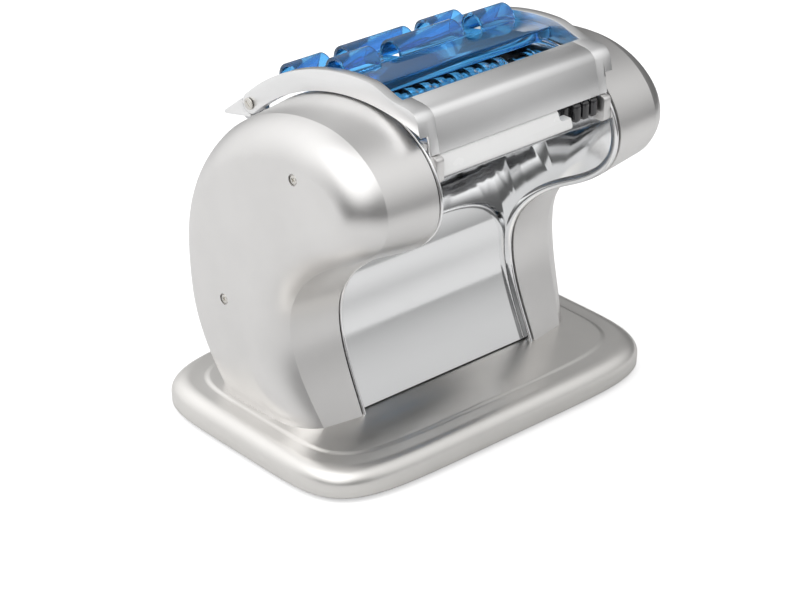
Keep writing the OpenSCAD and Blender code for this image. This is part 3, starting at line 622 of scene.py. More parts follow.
    @staticmethod
    def trim(obj: bpy.types.Object, height: float) -> None:
        """Cuts a piece off below a height and closes it there.

        Args:
            obj: The piece.
            height: Z of the cut.
        """
        Bench.edit(obj, lambda: bpy.ops.mesh.bisect(plane_co=(0, 0, height), plane_no=(0, 0, 1),
                                                    use_fill=True, clear_inner=True),
                   lambda: Bench.select("SELECT"), Bench.outwards)

    @staticmethod
    def laid_grid(name: str, rows: Sequence[Sequence[Vector]]) -> bpy.types.Object:
        """Adds a grid and lays its points on rows of places.

        Args:
            name: Name of the piece.
            rows: Rows of equal length.

        Returns:
            The grid, laid in place.
        """
        obj = Bench.added(name, bpy.ops.mesh.primitive_grid_add, x_subdivisions=len(rows[0]) - 1,
                          y_subdivisions=len(rows) - 1, size=1.0)
        flat = [c for row in rows for point in row for c in point]
        obj.data.vertices.foreach_set("co", flat)
        obj.data.update()
        return obj

    @staticmethod
    def join(first: bpy.types.Object, *others: bpy.types.Object) -> None:
        """Joins other pieces to the first one."""
        Bench.only(first, *others)
        bpy.ops.object.join()


class Workshop:
    """Places finished pieces on the frame and keeps count of them."""

    edge = 0.0004
    edge_segments = 2
    crease_deg = 32.0

    def __init__(self, finishes: Finishes) -> None:
        """Starts an empty register.

        Args:
            finishes: The machine's finishes.
        """
        self.finishes = finishes
        self.made: list[str] = []
        self.replaced: set[str] = set()

    def fit(self, obj: bpy.types.Object, body: str, finish: bpy.types.Material, slot: str,
            *nodes: str) -> bpy.types.Object:
        """Dresses a piece and makes it ride on a body.

        Args:
            obj: The finished piece.
            body: The CAD body that it moves with.
            finish: Its material.
            slot: The record's material slot; not used.
            *nodes: CAD nodes that it stands for.

        Returns:
            The piece.
        """
        obj.data.materials.clear()
        obj.data.materials.append(finish)
        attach(obj, body)
        if nodes:
            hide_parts(*nodes)
        self.replaced.update(nodes)
        self.made.append(obj.name)
        log.info("piece %s rides on %s", obj.name, body)
        return obj

    def softened(self, node: str, finish: bpy.types.Material) -> bpy.types.Object:
        """Makes a copy of a CAD node with broken edges and smooth curved faces.

        Args:
            node: Name of the node.
            finish: Material of the copy.

        Returns:
            The copy, which stands for the node.
        """
        obj = Bench.copy_of(node, f"{node}_finished")
        body = frame["nodes"][node]["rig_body"]
        Bench.bevel(obj, self.edge, self.edge_segments,
                    angle_limit=math.radians(self.crease_deg), harden_normals=False,
                    use_clamp_overlap=True)
        Bench.smooth(obj, self.crease_deg)
        slot = next(s["material_slot"] for s in frame["record"]["subparts"] if s["node"] == node)
        return self.fit(obj, body, finish, slot, node)


# ---- housings ---------------------------------------------------------------------------


def bezier(points: Sequence[Vector], t: float) -> Vector:
    """Finds a point of a cubic curve.

    Args:
        points: The four control points.
        t: Place on the curve, from 0 to 1.

    Returns:
        The point.
    """
    a, b, c, d = points
    u = 1 - t
    return u**3 * a + 3 * t * u**2 * b + 3 * t * t * u * c + t**3 * d


@dataclass
class Housings:
    """The two hooked end housings, as smooth shells.

    The pulls are how far the handles of the outline's curves reach, in millimetres.
    """

    shop: Workshop
    steps: int = 26
    dome_steps: int = 18
    across: int = 10
    top: float = 0.0235
    rim_x: float = 0.0794
    band: float = 0.0376
    band_shares: tuple[float, ...] = (0.02, 0.35, 0.7, 0.98)
    dome: float = 0.021
    dome_in: float = 0.0255
    dome_start: float = 28.0
    draft: float = 0.0045
    foot_in: float = 0.013
    foot_lean: float = 0.075
    wall: float = 0.0025
    merge_gap: float = 0.00002
    crease_deg: float = 14.0
    recess_r: float = 0.0040
    seat_depth: float = 0.0019
    shank_hole_r: float = 0.0018
    knob_hole_r: float = 0.00485
    switch_lip: float = 0.002
    tool_l: float = 0.02
    heel: tuple[float, float] = (0.067, 0.0235)
    back: tuple[float, float] = (0.086, 0.128)
    crown: tuple[float, float] = (-0.045, 0.247)
    nose: tuple[float, float] = (-0.107, 0.201)
    throat: tuple[float, float] = (-0.065, 0.1575)
    waist: tuple[float, float] = (-0.010, 0.092)
    toe: tuple[float, float] = (-0.033, 0.0235)
    heel_pull: tuple[float, float] = (8.0, 30.0)
    back_pull: float = 45.0
    nose_pull: float = 22.0
    throat_way: tuple[float, float] = (0.89, -0.45)
    throat_pulls: tuple[float, float] = (20.0, 34.0)
    waist_pulls: tuple[float, float] = (29.0, 25.0)
    toe_pull: tuple[float, float] = (10.0, 22.0)
    under: float = 0.020
    round_share: float = 0.5523
    outline: list[Vector] = field(default_factory=list)

    def __post_init__(self) -> None:
        """Works out the outline in the YZ plane, from the heel over the crown to the toe.

        Both ends go on below the foot; the shell is cut off there afterwards.
        """
        heel, back, crown, nose, throat, waist, toe, heel_pull, toe_pull = (
            Vector(p) for p in (self.heel, self.back, self.crown, self.nose, self.throat,
                                self.waist, self.toe, self.heel_pull, self.toe_pull)
        )
        k = self.round_share
        down = Vector(self.throat_way) * MM
        up = Vector((0, 1))
        legs = [
            (heel, heel + heel_pull * MM, back - self.back_pull * up * MM, back),
            (back, back + Vector((0, k * (crown.y - back.y))),
             crown + Vector((k * (back.x - crown.x), 0)), crown),
            (crown, crown - Vector((k * (crown.x - nose.x), 0)),
             nose + Vector((0, k * (crown.y - nose.y))), nose),
            (nose, nose - self.nose_pull * up * MM, throat - self.throat_pulls[0] * down, throat),
            (throat, throat + self.throat_pulls[1] * down,
             waist + self.waist_pulls[0] * up * MM, waist),
            (waist, waist - self.waist_pulls[1] * up * MM, toe + toe_pull * MM, toe),
        ]
        self.outline = [heel - heel_pull / heel_pull.y * self.under]
        self.outline += [bezier(leg, i / self.steps) for leg in legs for i in range(self.steps)]
        self.outline += [toe, toe - toe_pull / toe_pull.y * self.under]

    def outward(self, i: int) -> Vector:
        """Finds the direction out of the material.

        Args:
            i: Number of the outline's point.

        Returns:
            The direction, in the YZ plane.
        """
        last = len(self.outline) - 1
        along = (self.outline[min(i + 1, last)] - self.outline[max(i - 1, 0)]).normalized()
        return Vector((along.y, -along.x))

    def lean(self, x: float, z: float) -> float:
        """Draws a place in towards the foot, most at the rounded end.

        Args:
            x: Distance from the machine's middle.
            z: Height.

        Returns:
            The distance after it.
        """
        reach = self.band + self.dome
        low = min(1.0, max(0.0, 1 - (z - self.top) / self.foot_lean))
        return x - self.foot_in * (x - self.rim_x) / reach * low**2

    def ring(self, x: float, inset: float) -> list[Vector]:
        """Lays the outline at a distance from the middle, leaning in towards its foot.

        Args:
            x: The distance.
            inset: How far the outline is drawn in.

        Returns:
            Its points.
        """
        points = []
        for i, p in enumerate(self.outline):
            q = p - inset * self.outward(i)
            points.append(Vector((self.lean(x, q.y), q.x, q.y)))
        return points

    def rings(self) -> list[list[Vector]]:
        """Lays the rings from the rim over the band and the rounded end to its face.

        Returns:
            The rings.
        """
        rows = [self.ring(self.rim_x, -self.draft)]
        rows += [self.ring(self.rim_x + self.band * t, -self.draft * (1 - t))
                 for t in self.band_shares]
        start = math.radians(self.dome_start)
        for i in range(self.dome_steps + 1):
            a = start + (math.pi / 2 - start) * i / self.dome_steps
            out = (math.sin(a) - math.sin(start)) / (1 - math.sin(start))
            rows.append(self.ring(self.rim_x + self.band + self.dome * out,
                                  self.dome_in * (1 - math.cos(a) / math.cos(start))))
        return rows

    def face(self, ring: Sequence[Vector]) -> list[list[Vector]]:
        """Leads rows from one side of a ring to the other, over the end face.

        The last row lies on the ring itself, round the nose.

        Args:
            ring: The last ring.

        Returns:
            The rows.
        """
        n = len(ring)
        first = n // 2 - self.across // 2
        steps = range(self.across + 1)
        rows = [[ring[i].lerp(ring[n - 1 - i], k / self.across) for k in steps]
                for i in range(first + 1)]
        return [*rows, [ring[first + k] for k in steps]]

    def shell(self, side: Side) -> bpy.types.Object:
        """Makes the bare shell of one housing.

        Args:
            side: Which housing.

        Returns:
            The shell.
        """
        rows = self.rings()
        skin = Bench.laid_grid(f"{side.node('housing')}_shell", rows)
        end = Bench.laid_grid("end_face", self.face(rows[-1]))
        Bench.join(skin, end)
        if side is Side.LEFT:
            for v in skin.data.vertices:
                v.co.x = -v.co.x
        Bench.edit(skin, lambda: Bench.merge(self.merge_gap), Bench.outwards)
        far = max(skin.data.polygons, key=lambda p: abs(p.center.x))
        if far.normal.x * (far.center.x - side.value * self.rim_x) < 0:
            Bench.edit(skin, bpy.ops.mesh.flip_normals)
        Bench.modify(skin, "SOLIDIFY", thickness=self.wall, offset=-1.0, use_even_offset=False,
                     use_rim=True)
        Bench.trim(skin, self.top)
        return skin

    def open_up(self, obj: bpy.types.Object, side: Side) -> None:
        """Cuts the screw recesses, and on the right the openings of the knob and the switch.

        Args:
            obj: The shell.
            side: Which housing it is.
        """
        end = self.rim_x + self.band + self.dome
        long = self.tool_l
        seat = side.value * (end - self.seat_depth + long / 2)
        for y, z in screw_spots():
            Bench.cut(obj, Bench.rod("recess", (seat, y, z), self.recess_r, long))
            Bench.cut(obj, Bench.rod("shank_hole", (side.value * end, y, z), self.shank_hole_r,
                                     long, FEW_SIDES))
        if side is Side.RIGHT:
            knob = middle("thickness_knob")
            Bench.cut(obj, Bench.rod("knob_hole", (end, knob.y, knob.z), self.knob_hole_r, long))
            low, high = (Vector(c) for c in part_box("switch_bezel"))
            place = (end, (low.y + high.y) / 2, (low.z + high.z) / 2)
            lips = 2 * self.switch_lip
            size = (long, high.y - low.y - lips, high.z - low.z - lips)
            Bench.cut(obj, Bench.block("switch_hole", place, size))

    def build(self, side: Side) -> bpy.types.Object:
        """Builds one housing with its screw recesses and openings.

        Args:
            side: Which housing.

        Returns:
            The finished housing.
        """
        obj = self.shell(side)
        self.open_up(obj, side)
        Bench.smooth(obj, self.crease_deg)
        node = side.node("housing")
        return self.shop.fit(obj, "chassis", self.shop.finishes.silver, "satin_silver", node)


@dataclass
class Beads:
    """The polished beads that follow the rims of the housings."""

    shop: Workshop
    outline_of: Housings
    plate_x: float = 0.077
    bead_h: float = 0.0013
    bead_edge: float = 0.0006
    inner: float = 0.001
    plate_edge: float = -0.0015
    edge_round: float = 0.0003
    shoulder: float = 0.6
    merge_gap: float = 1e-7
    crease_deg: float = 50.0

    def section(self) -> list[tuple[float, float]]:
        """Works out the bead's section.

        Returns:
            Pairs of X and distance inside the outline.
        """
        draft = self.outline_of.draft
        e = self.edge_round
        x0 = self.plate_x - self.bead_h
        x1 = self.plate_x + self.bead_edge
        return [
            (x0, self.inner - e), (x0, -draft + 2 * e), (x0 + e, -draft + self.shoulder * e),
            (x0 + 2 * e, -draft), (x1 - e, -draft), (x1, -draft + e),
            (x1, self.plate_edge), (self.plate_x, self.plate_edge),
            (self.plate_x, self.inner), (x0 + e, self.inner),
        ]

    def build(self, side: Side) -> None:
        """Builds the bead of one side.

        Args:
            side: Which bead.
        """
        rows = []
        for x, inset in [*self.section(), self.section()[0]]:
            ring = self.outline_of.ring(x, inset)
            rows.append([Vector((side.value * x, p.y, p.z)) for p in ring])
        bead = Bench.laid_grid(f"{side.node('bead')}_finished", rows)
        Bench.edit(bead, lambda: Bench.merge(self.merge_gap))
        Bench.edit(bead, lambda: Bench.select("DESELECT"),
                   lambda: bpy.ops.mesh.select_non_manifold(extend=False),
                   lambda: bpy.ops.mesh.fill_holes(sides=0),
                   lambda: Bench.select("SELECT"), Bench.outwards)
        Bench.trim(bead, self.outline_of.top)
        Bench.smooth(bead, self.crease_deg)
        self.shop.fit(bead, "chassis", self.shop.finishes.bead, "mirror_chrome",
                      side.node("bead"))


@dataclass
class Chute:
    """The polished sheet that follows the front of the legs and leads back under the rollers.

    The pulls are how far the handles of its upper curve reach, in millimetres.
    """

    shop: Workshop
    outline_of: Housings
    half_width: float = 0.077
    inner: float = 0.002
    sheet: float = 0.0015
    foot_gap: float = 0.0009
    curves_above: int = 5
    rear_pull: tuple[float, float] = (40.0, 14.0)
    bend_pull: tuple[float, float] = (0.0, 40.0)
    smooth_steps: int = 48
    crease_deg: float = 30.0

    def path(self) -> list[Vector]:
        """Works out the middle line of the sheet, from its rear end to its foot.

        Returns:
            Its points in the YZ plane.
        """
        ring = self.outline_of.ring(0.0, self.inner)
        first = 1 + self.curves_above * self.outline_of.steps
        leg = [Vector((p.y, p.z)) for p in ring[first:]]
        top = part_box("front_chute")[1]
        rear = Vector((top[1] - self.sheet / 2, top[2] - self.sheet / 2))
        bend = leg[0]
        curve = (rear, rear - Vector(self.rear_pull) * MM, bend + Vector(self.bend_pull) * MM,
                 bend)
        return [bezier(curve, i / self.smooth_steps) for i in range(self.smooth_steps)] + leg

    def build(self) -> None:
        """Builds the chute."""
        rows = [[Vector((x, p.x, p.y)) for p in self.path()]
                for x in (-self.half_width, 0.0, self.half_width)]
        chute = Bench.laid_grid("front_chute_finished", rows)
        Bench.modify(chute, "SOLIDIFY", thickness=self.sheet, offset=0.0)
        Bench.trim(chute, self.outline_of.top + self.foot_gap)
        Bench.smooth(chute, self.crease_deg)
        self.shop.fit(chute, "chassis", self.shop.finishes.mirror, "mirror_chrome", "front_chute")


@dataclass
class BasePlate:
    """The smooth base plate with its rounded rim and raised step."""

    shop: Workshop
    width: float = 0.301
    depth: float = 0.209
    height: float = 0.0235
    edge_r: float = 0.011
    step_h: float = 0.0012
    step_in: float = 0.021
    step_w: float = 0.003
    step_foot: tuple[float, float] = (0.0022, 0.0001)
    step_half: float = 0.001
    step_crest: float = 0.00006
    top_shares: tuple[float, ...] = (0.3, 0.6, 0.85)
    wall: float = 0.0025
    rim_h: float = 0.0025
    rim_lip: tuple[tuple[float, float], ...] = ((0.002, 0.0), (0.0009, 0.0007), (0.0002, 0.002))
    rim_gap: float = 0.0001
    middle_y: float = 0.0065
    square: float = 5.6
    steps: int = 320
    round_steps: int = 12

    def ring(self, inset: float, z: float) -> list[Vector]:
        """Lays the closed outline at a height.

        Args:
            inset: How far it is drawn in.
            z: The height.

        Returns:
            Its points.
        """
        points = []
        for i in range(self.steps + 1):
            a = math.tau * (i % self.steps + 0.5) / self.steps
            c, s = math.cos(a), math.sin(a)
            x = math.copysign(abs(c) ** (2 / self.square), c)
            y = math.copysign(abs(s) ** (2 / self.square), s)
            points.append(Vector(((self.width / 2 - inset) * x,
                                  self.middle_y + (self.depth / 2 - inset) * y, z)))
        return points

    def rows(self) -> list[list[Vector]]:
        """Lays the rings from the rim's lower edge over the edge to the middle.

        Returns:
            The rings.
        """
        shelf = self.height - self.step_h
        rows = [self.ring(inset, self.rim_h + up) for inset, up in self.rim_lip]
        for i in range(self.round_steps + 1):
            a = math.pi / 2 * i / self.round_steps
            rows.append(self.ring(self.edge_r * (1 - math.cos(a)),
                                  shelf - self.edge_r * (1 - math.sin(a))))
        step = self.step_in
        foot_w, foot_h = self.step_foot
        flat = step + self.step_half
        reach = self.depth / 2 - step
        rows += [self.ring(step - self.step_w, shelf), self.ring(step - foot_w, shelf + foot_h),
                 self.ring(step - self.step_half, shelf + self.step_h / 2),
                 self.ring(step, self.height - self.step_crest), self.ring(flat, self.height)]
        rows += [self.ring(flat + reach * t, self.height) for t in self.top_shares]
        return rows

    def build(self) -> None:
        """Builds the base plate."""
        plate = Bench.laid_grid("base_plate_finished", self.rows())
        Bench.edit(plate, Bench.merge, lambda: Bench.select("DESELECT"))
        rim = self.rim_h + self.rim_gap
        Bench.close(plate, lambda v: v.co.z > rim)
        Bench.modify(plate, "SOLIDIFY", thickness=self.wall, offset=-1.0, use_even_offset=False)
        Bench.smooth(plate)
        self.shop.fit(plate, "chassis", self.shop.finishes.base, "satin_base", "base_plate")


def middle(node: str) -> Vector:
    """Returns the middle of a CAD node's box."""
    low, high = (Vector(c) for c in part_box(node))
    return (low + high) / 2


def screw_spots(head_r: float = 0.0036) -> list[tuple[float, float]]:
    """Returns the Y and Z of the upper and the lower housing screw, whose heads have a radius."""
    low, high = (Vector(c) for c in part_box("housing_screws"))
    return [(low.y + head_r, high.z - head_r), (high.y - head_r, low.z + head_r)]


@dataclass
class Screws:
    """The housing screws, with domed heads and a cross recess, and the hinge pins."""

    shop: Workshop
    head_r: float = 0.0032
    head_t: float = 0.0014
    head_round: float = 0.0011
    dome_segments: int = 6
    sunk: float = 0.0001
    shank_r: float = 0.0015
    shank_l: float = 0.009
    shank_in: float = 0.0001
    slot_w: float = 0.0009
    slot_l: float = 0.0034
    slot_t: float = 0.0016
    cross_deg: tuple[float, float] = (20.0, 110.0)
    pin_round: float = 0.0005
    pin_slot: tuple[float, float, float] = (0.0012, 0.0052, 0.0010)
    pin_deg: float = 35.0

    def one(self, side: Side, y: float, z: float) -> bpy.types.Object:
        """Makes one screw.

        Args:
            side: The housing that it holds.
            y: Y of its axis.
            z: Z of its axis.

        Returns:
            The screw.
        """
        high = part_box("housing_screws")[1][0]
        face = side.value * (high - self.sunk)
        head = Bench.rod("screw_head", (face - side.value * self.head_t / 2, y, z), self.head_r,
                         self.head_t)
        Bench.bevel(head, self.head_round, self.dome_segments)
        for turn in self.cross_deg:
            slot = Bench.block("slot", (face, y, z), (self.slot_t, self.slot_l, self.slot_w))
            Bench.turn(slot, turn, (face, y, z))
            Bench.cut(head, slot)
        back = face - side.value * (self.head_t + self.shank_l / 2 - self.shank_in)
        shank = Bench.rod("shank", (back, y, z), self.shank_r, self.shank_l, FEW_SIDES)
        Bench.join(head, shank)
        return head

    def pins(self) -> None:
        """Builds the hinge pins, with a slot across each head."""
        pins = Bench.copy_of("hinge_pins", "hinge_pins_finished")
        low, high = (Vector(c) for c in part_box("hinge_pins"))
        Bench.bevel(pins, self.pin_round)
        for x in (low.x, high.x):
            spot = (x, (low.y + high.y) / 2, (low.z + high.z) / 2)
            slot = Bench.block("slot", spot, self.pin_slot)
            Bench.turn(slot, self.pin_deg, spot)
            Bench.cut(pins, slot)
        Bench.smooth(pins)
        self.shop.fit(pins, frame["nodes"]["hinge_pins"]["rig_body"], self.shop.finishes.screw,
                      "steel", "hinge_pins")

    def build(self) -> None:
        """Builds all four screws as one piece."""
        heads = [self.one(side, y, z) for side in Side for y, z in screw_spots()]
        Bench.join(*heads)
        heads[0].name = "housing_screws_finished"
        Bench.smooth(heads[0])
        self.shop.fit(heads[0], "chassis", self.shop.finishes.screw, "steel", "housing_screws")


@dataclass
class Outlet:
    """The outlet bar with its stepped end, and the black ribbed block beside it. The bar's plain
    white is a painted highlight: it stands for the bright reflection of a chrome plate.
    """

    shop: Workshop
    bar_edge: float = 0.0006
    lip_share: float = 0.52
    notch: float = 0.010
    notch_over: float = 0.01
    notch_depth: float = 0.04
    notch_round: float = 0.003
    round_segments: int = 6
    block_edge: float = 0.0008
    block_short: float = 0.0015
    lobe_w: float = 0.0062
    lobe_step: float = 0.0074
    lobe_start: float = 0.0045
    lobe_reach: float = 0.005
    lobe_place: float = 0.62
    lobe_depth: float = 1.2
    lobe_short: float = 0.001
    lobe_round: float = 0.0024
    lobes: int = 3

    def bar(self) -> None:
        """Builds the bar, whose white is a painted highlight of chrome: its upper part stops
        short of its rounded lower lip.
        """
        bar = Bench.copy_of("deflector", "deflector_finished")
        low, high = (Vector(c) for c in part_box("deflector"))
        Bench.bevel(bar, self.bar_edge)
        lip = low.z + self.lip_share * (high.z - low.z)
        tall = high.z - lip + self.notch_over
        tool = Bench.block("notch", (high.x, (low.y + high.y) / 2, lip + tall / 2),
                           (2 * self.notch, self.notch_depth, tall))
        Bench.bevel(tool, self.notch_round, self.round_segments)
        Bench.cut(bar, tool)
        Bench.smooth(bar)
        # painted highlight: the bar's white finish stands for the bright reflection of a chrome
        # plate
        self.shop.fit(bar, "chassis", self.shop.finishes.white, "white_gloss", "deflector")

    def block(self) -> None:
        """Builds the black block and its rounded lobes."""
        low, high = (Vector(c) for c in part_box("outlet_block"))
        reach = self.lobe_reach
        size = (high.x - low.x, high.y - low.y - reach, high.z - low.z - self.block_short)
        centre = ((low.x + high.x) / 2, high.y - size[1] / 2, high.z - size[2] / 2)
        body = Bench.block("outlet_block_finished", centre, size)
        Bench.bevel(body, self.block_edge)
        tall = high.z - low.z - self.lobe_short
        for i in range(self.lobes):
            x = low.x + self.lobe_start + self.lobe_w / 2 + i * self.lobe_step
            lobe = Bench.block("lobe", (x, low.y + reach * self.lobe_place, high.z - tall / 2),
                               (self.lobe_w, reach * self.lobe_depth, tall))
            Bench.bevel(lobe, self.lobe_round, self.round_segments)
            Bench.join(body, lobe)
        Bench.smooth(body)
        self.shop.fit(body, "chassis", self.shop.finishes.black_gloss, "black_plastic",
                      "outlet_block")


@dataclass
class Controls:
    """Numbers on the knob, its mark on the housing, and the marks of the switch."""

    shop: Workshop
    numbers: int = 7
    step_deg: float = 30.0
    number_h: float = 0.0034
    number_in: float = 0.0026
    knob_rim: float = 0.006
    relief: float = 0.00025
    mark_w: float = 0.0032
    mark_gap: float = 0.0032
    mark_back: float = 0.0004
    dip: float = 0.0016
    reach_share: float = 0.27
    face_in: float = 0.00075
    line_size: tuple[float, float, float] = (0.0005, 0.0009, 0.0042)
    ring_r: float = 0.0019
    ring_wire: float = 0.0003

    def lettered(self, text: str, height: float, place: Vector, about: Vector,
                 degrees: float) -> bpy.types.Object:
        """Makes a raised number that faces +X.

        Args:
            text: The number.
            height: Its height.
            place: Its middle before it is turned.
            about: Point about which it is turned.
            degrees: Turn from the top towards the back.

        Returns:
            The number.
        """
        obj = Bench.added("number", bpy.ops.object.text_add)
        obj.data.body = text
        obj.data.align_x = "CENTER"
        obj.data.align_y = "CENTER"
        obj.data.size = height
        obj.data.extrude = self.relief
        upright = Euler((math.pi / 2, 0, math.pi / 2)).to_matrix().to_4x4()
        turn = Matrix.Rotation(math.radians(-degrees), 4, "X")
        obj.matrix_world = (Matrix.Translation(about) @ turn
                            @ Matrix.Translation(place - about) @ upright)
        bpy.ops.object.convert(target="MESH")
        obj = bpy.context.active_object
        Bench.settle(obj)
        Bench.edit(obj, Bench.merge)
        return obj

    def dial(self) -> None:
        """Puts the numbers on the knob and the mark that they point at on the housing."""
        low, high = (Vector(c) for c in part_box("thickness_knob"))
        centre = (low + high) / 2
        knob_r = (high.z - low.z) / 2
        about = Vector((high.x, centre.y, centre.z))
        place = about + Vector((0, 0, knob_r - self.knob_rim - self.number_in))
        marks = [self.lettered(str(i + 1), self.number_h, place, about, i * self.step_deg)
                 for i in range(self.numbers)]
        Bench.join(*marks)
        marks[0].name = "knob_numbers"
        self.shop.fit(marks[0], "knob", self.shop.finishes.paint, "white_gloss")
        tip = Vector((low.x - self.mark_back, centre.y, centre.z + knob_r + self.mark_gap))
        mark = Bench.wedge("knob_mark", tip, self.mark_w, 2 * self.relief)
        self.shop.fit(mark, "chassis", self.shop.finishes.black, "black_plastic")

    def switch(self) -> None:
        """Puts a line and a ring on the two ends of the rocker."""
        low, high = (Vector(c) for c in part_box("switch_rocker"))
        centre = (low + high) / 2
        tall = high.z - low.z
        slope = math.degrees(math.atan2(self.dip, tall / 2))
        reach = tall * self.reach_share
        x = high.x - self.face_in
        line = Bench.block("rocker_line", (x, centre.y, centre.z + reach), self.line_size)
        ring = Bench.added("rocker_ring", bpy.ops.mesh.primitive_torus_add,
                           location=(x, centre.y, centre.z - reach),
                           rotation=(0, math.pi / 2, 0), major_radius=self.ring_r,
                           minor_radius=self.ring_wire, major_segments=36, minor_segments=8)
        Bench.settle(ring)
        for obj, way in ((line, 1), (ring, -1)):
            Bench.turn(obj, way * slope, (x, centre.y, centre.z + way * reach), "Y")
        Bench.join(line, ring)
        line.name = "rocker_marks"
        Bench.smooth(line)
        self.shop.fit(line, "rocker", self.shop.finishes.paint, "white_gloss")

    def build(self) -> None:
        """Builds the marks of both controls."""
        self.dial()
        self.switch()


# ---- the stage --------------------------------------------------------------------------


@dataclass
class Studio:
    """Floor, soft lights and the camera.

    The sky and the glows are cosines where a rise starts and ends, and the levels there.
    """

    eye: tuple[float, float, float] = (-1.0123, -1.1277, 0.8573)
    turn: tuple[float, float, float] = (62.60, 0.0, -41.55)
    lens: float = 112.67
    sensor: float = 36.0
    floor_size: float = 1.7
    floor_drop: float = 0.0002
    floor_lift: float = 0.52
    paper: tuple[float, float, float, float] = (0.66, 0.66, 0.66, 1.0)
    paper_roughness: float = 0.9
    paper_specular: float = 0.1
    sky: tuple[float, float, float, float] = (-0.02, 0.9, 0.12, 0.50)
    key_way: tuple[float, float, float] = (-0.55, -0.30, 0.8)
    key_glow: tuple[float, float, float, float] = (0.66, 1.0, 0.0, 1.25)
    rear_way: tuple[float, float, float] = (-0.45, 0.85, 0.3)
    rear_glow: tuple[float, float, float, float] = (0.30, 1.0, 0.0, 0.85)
    fill_way: tuple[float, float, float] = (0.55, -0.65, 0.52)
    fill_glow: tuple[float, float, float, float] = (0.60, 1.0, 0.0, 0.5)
    aim: tuple[float, float, float] = (0.0, 0.0, 0.12)

    def camera(self) -> None:
        """Sets the camera at the photograph's place."""
        data = bpy.data.cameras.new("camera")
        data.lens = self.lens
        data.sensor_width = self.sensor
        obj = bpy.data.objects.new("camera", data)
        obj.location = self.eye
        obj.rotation_euler = [math.radians(a) for a in self.turn]
        bpy.context.scene.collection.objects.link(obj)
        bpy.context.scene.camera = obj

    @staticmethod
    def both(tree: bpy.types.NodeTree, operation: str, first: bpy.types.NodeSocket,
             second: bpy.types.NodeSocket) -> bpy.types.NodeSocket:
        """Adds a math node of two values.

        Args:
            tree: The node tree.
            operation: Blender's name of what it does.
            first: The first value.
            second: The second value.

        Returns:
            What it gives.
        """
        node = tree.nodes.new("ShaderNodeMath")
        node.operation = operation
        tree.links.new(first, node.inputs[0])
        tree.links.new(second, node.inputs[1])
        return node.outputs[0]

    def backdrop(self) -> None:
        """Adds the pale floor, which shows near white but keeps the object's shadow."""
        floor = Bench.added("floor", bpy.ops.mesh.primitive_plane_add, size=self.floor_size,
                            location=(0, 0, -self.floor_drop))
        g = Graph("floor_paper")
        g.put(g.shader, Base_Color=self.paper, Roughness=self.paper_roughness,
              Specular_IOR_Level=self.paper_specular)
        path = g.add("ShaderNodeLightPath").outputs
        seen = self.both(g.tree, "MAXIMUM", path["Is Camera Ray"], path["Is Transmission Ray"])
        strength = g.add("ShaderNodeMath", operation="MULTIPLY")
        strength.inputs[1].default_value = self.floor_lift
        lift = g.add("ShaderNodeEmission")
        total = g.add("ShaderNodeAddShader")
        g.link(seen, strength.inputs[0])
        g.link(strength.outputs[0], lift.inputs["Strength"])
        g.link(g.shader.outputs[0], total.inputs[0])
        g.link(lift.outputs[0], total.inputs[1])
        g.link(total.outputs[0], g.tree.nodes["Material Output"].inputs["Surface"])
        floor.data.materials.append(g.material)

    def world(self) -> None:
        """Makes the world a soft studio: bright above, to the left and behind, dim elsewhere.

        To the camera it is plain white.
        """
        world = bpy.data.worlds.new("studio")
        world.use_nodes = True
        bpy.context.scene.world = world
        tree = world.node_tree
        light = tree.nodes["Background"]
        light.inputs["Color"].default_value = (1, 1, 1, 1)
        place = tree.nodes.new("ShaderNodeTexCoord").outputs["Generated"]
        level = self.rise(tree, place, (0.0, 0.0, 1.0), self.sky)
        for way, span in ((self.key_way, self.key_glow), (self.rear_way, self.rear_glow),
                          (self.fill_way, self.fill_glow)):
            level = self.both(tree, "ADD", level, self.rise(tree, place, way, span))
        path = tree.nodes.new("ShaderNodeLightPath").outputs
        for seen in ("Is Camera Ray", "Is Transmission Ray"):
            level = self.both(tree, "MAXIMUM", level, path[seen])
        tree.links.new(level, light.inputs["Strength"])

    @staticmethod
    def rise(tree: bpy.types.NodeTree, place: bpy.types.NodeSocket, way: Sequence[float],
             span: tuple[float, float, float, float]) -> bpy.types.NodeSocket:
        """Makes a level that rises smoothly towards a direction.

        Args:
            tree: The world's node tree.
            place: The direction looked in.
            way: The direction of the highest level.
            span: Cosines where the rise starts and ends, and the levels there.

        Returns:
            The level.
        """
        dot = tree.nodes.new("ShaderNodeVectorMath")
        dot.operation = "DOT_PRODUCT"
        dot.inputs[1].default_value = Vector(way).normalized()
        tree.links.new(place, dot.inputs[0])
        node = tree.nodes.new("ShaderNodeMapRange")
        node.interpolation_type = "SMOOTHSTEP"
        for key, value in zip(("From Min", "From Max", "To Min", "To Max"), span):
            node.inputs[key].default_value = value
        tree.links.new(dot.outputs["Value"], node.inputs["Value"])
        return node.outputs["Result"]

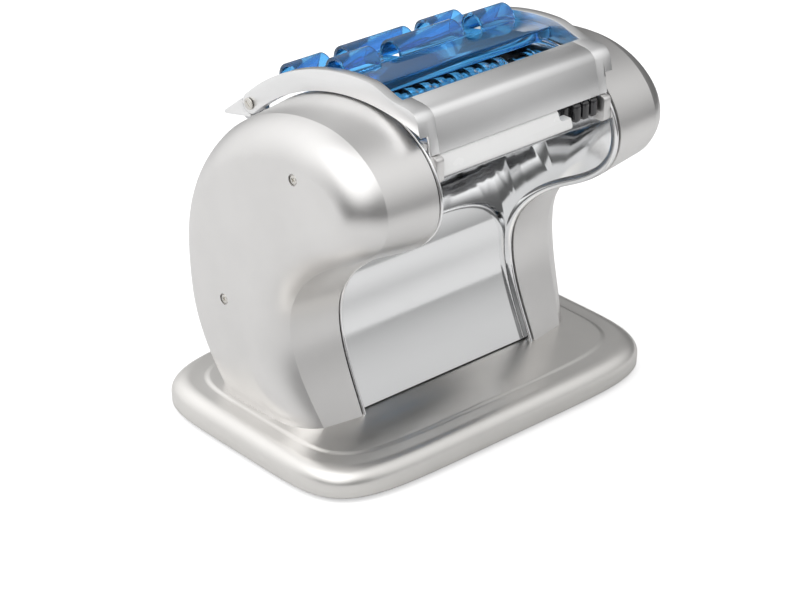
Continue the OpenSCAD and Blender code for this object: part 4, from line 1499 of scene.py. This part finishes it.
    def softbox(self, name: str, place: Sequence[float], size: tuple[float, float],
                power: float) -> None:
        """Adds a rectangular light that points at the machine.

        Args:
            name: Name of the light.
            place: Its place in metres.
            size: Width and height.
            power: Power in watts.
        """
        data = bpy.data.lights.new(name, "AREA")
        data.shape = "RECTANGLE"
        data.size, data.size_y = size
        data.energy = power
        obj = bpy.data.objects.new(name, data)
        obj.location = place
        aim = Vector(self.aim) - Vector(place)
        obj.rotation_euler = aim.to_track_quat("-Z", "Y").to_euler()
        obj.visible_glossy = False
        bpy.context.scene.collection.objects.link(obj)

    def build(self) -> None:
        """Builds the whole stage."""
        self.camera()
        self.backdrop()
        self.world()
        self.softbox("key", (-1.7, 0.5, 1.4), (1.2, 1.2), 11.0)
        self.softbox("fill", (0.6, -1.8, 0.9), (1.0, 1.4), 3.0)
        self.softbox("top", (0.2, 0.6, 1.9), (1.6, 1.0), 5.0)
        bpy.context.scene.view_settings.view_transform = "Standard"


def main() -> None:
    """Builds the stage, dresses every piece and reports them."""
    logging.basicConfig(level=logging.INFO, format="%(name)s: %(message)s")
    Studio().build()
    finishes = Finishes()
    shop = Workshop(finishes)
    housings = Housings(shop)
    beads = Beads(shop, housings)
    for side in Side:
        housings.build(side)
        beads.build(side)
    BasePlate(shop).build()
    screws = Screws(shop)
    screws.build()
    screws.pins()
    Chute(shop, housings).build()
    outlet = Outlet(shop)
    outlet.bar()
    outlet.block()
    Controls(shop).build()
    plain = {
        "satin_silver": finishes.silver,
        "satin_base": finishes.base,
        "mirror_chrome": finishes.mirror,
        "white_gloss": finishes.white,
        "black_plastic": finishes.black,
        "rubber": finishes.rubber,
        "steel": finishes.steel,
        "roller_steel": finishes.rollers,
        "blue_clear": finishes.blue,
        "red_plastic": finishes.red,
    }
    shiny = {"left_arm", "right_arm", "front_bar", "left_tail", "right_tail"}
    for part in frame["record"]["subparts"]:
        if part["node"] not in shop.replaced:
            finish = finishes.bright if part["node"] in shiny else plain[part["material_slot"]]
            shop.softened(part["node"], finish)
    log.info("%d pieces", len(shop.made))


if __name__ == "__main__":
    main()
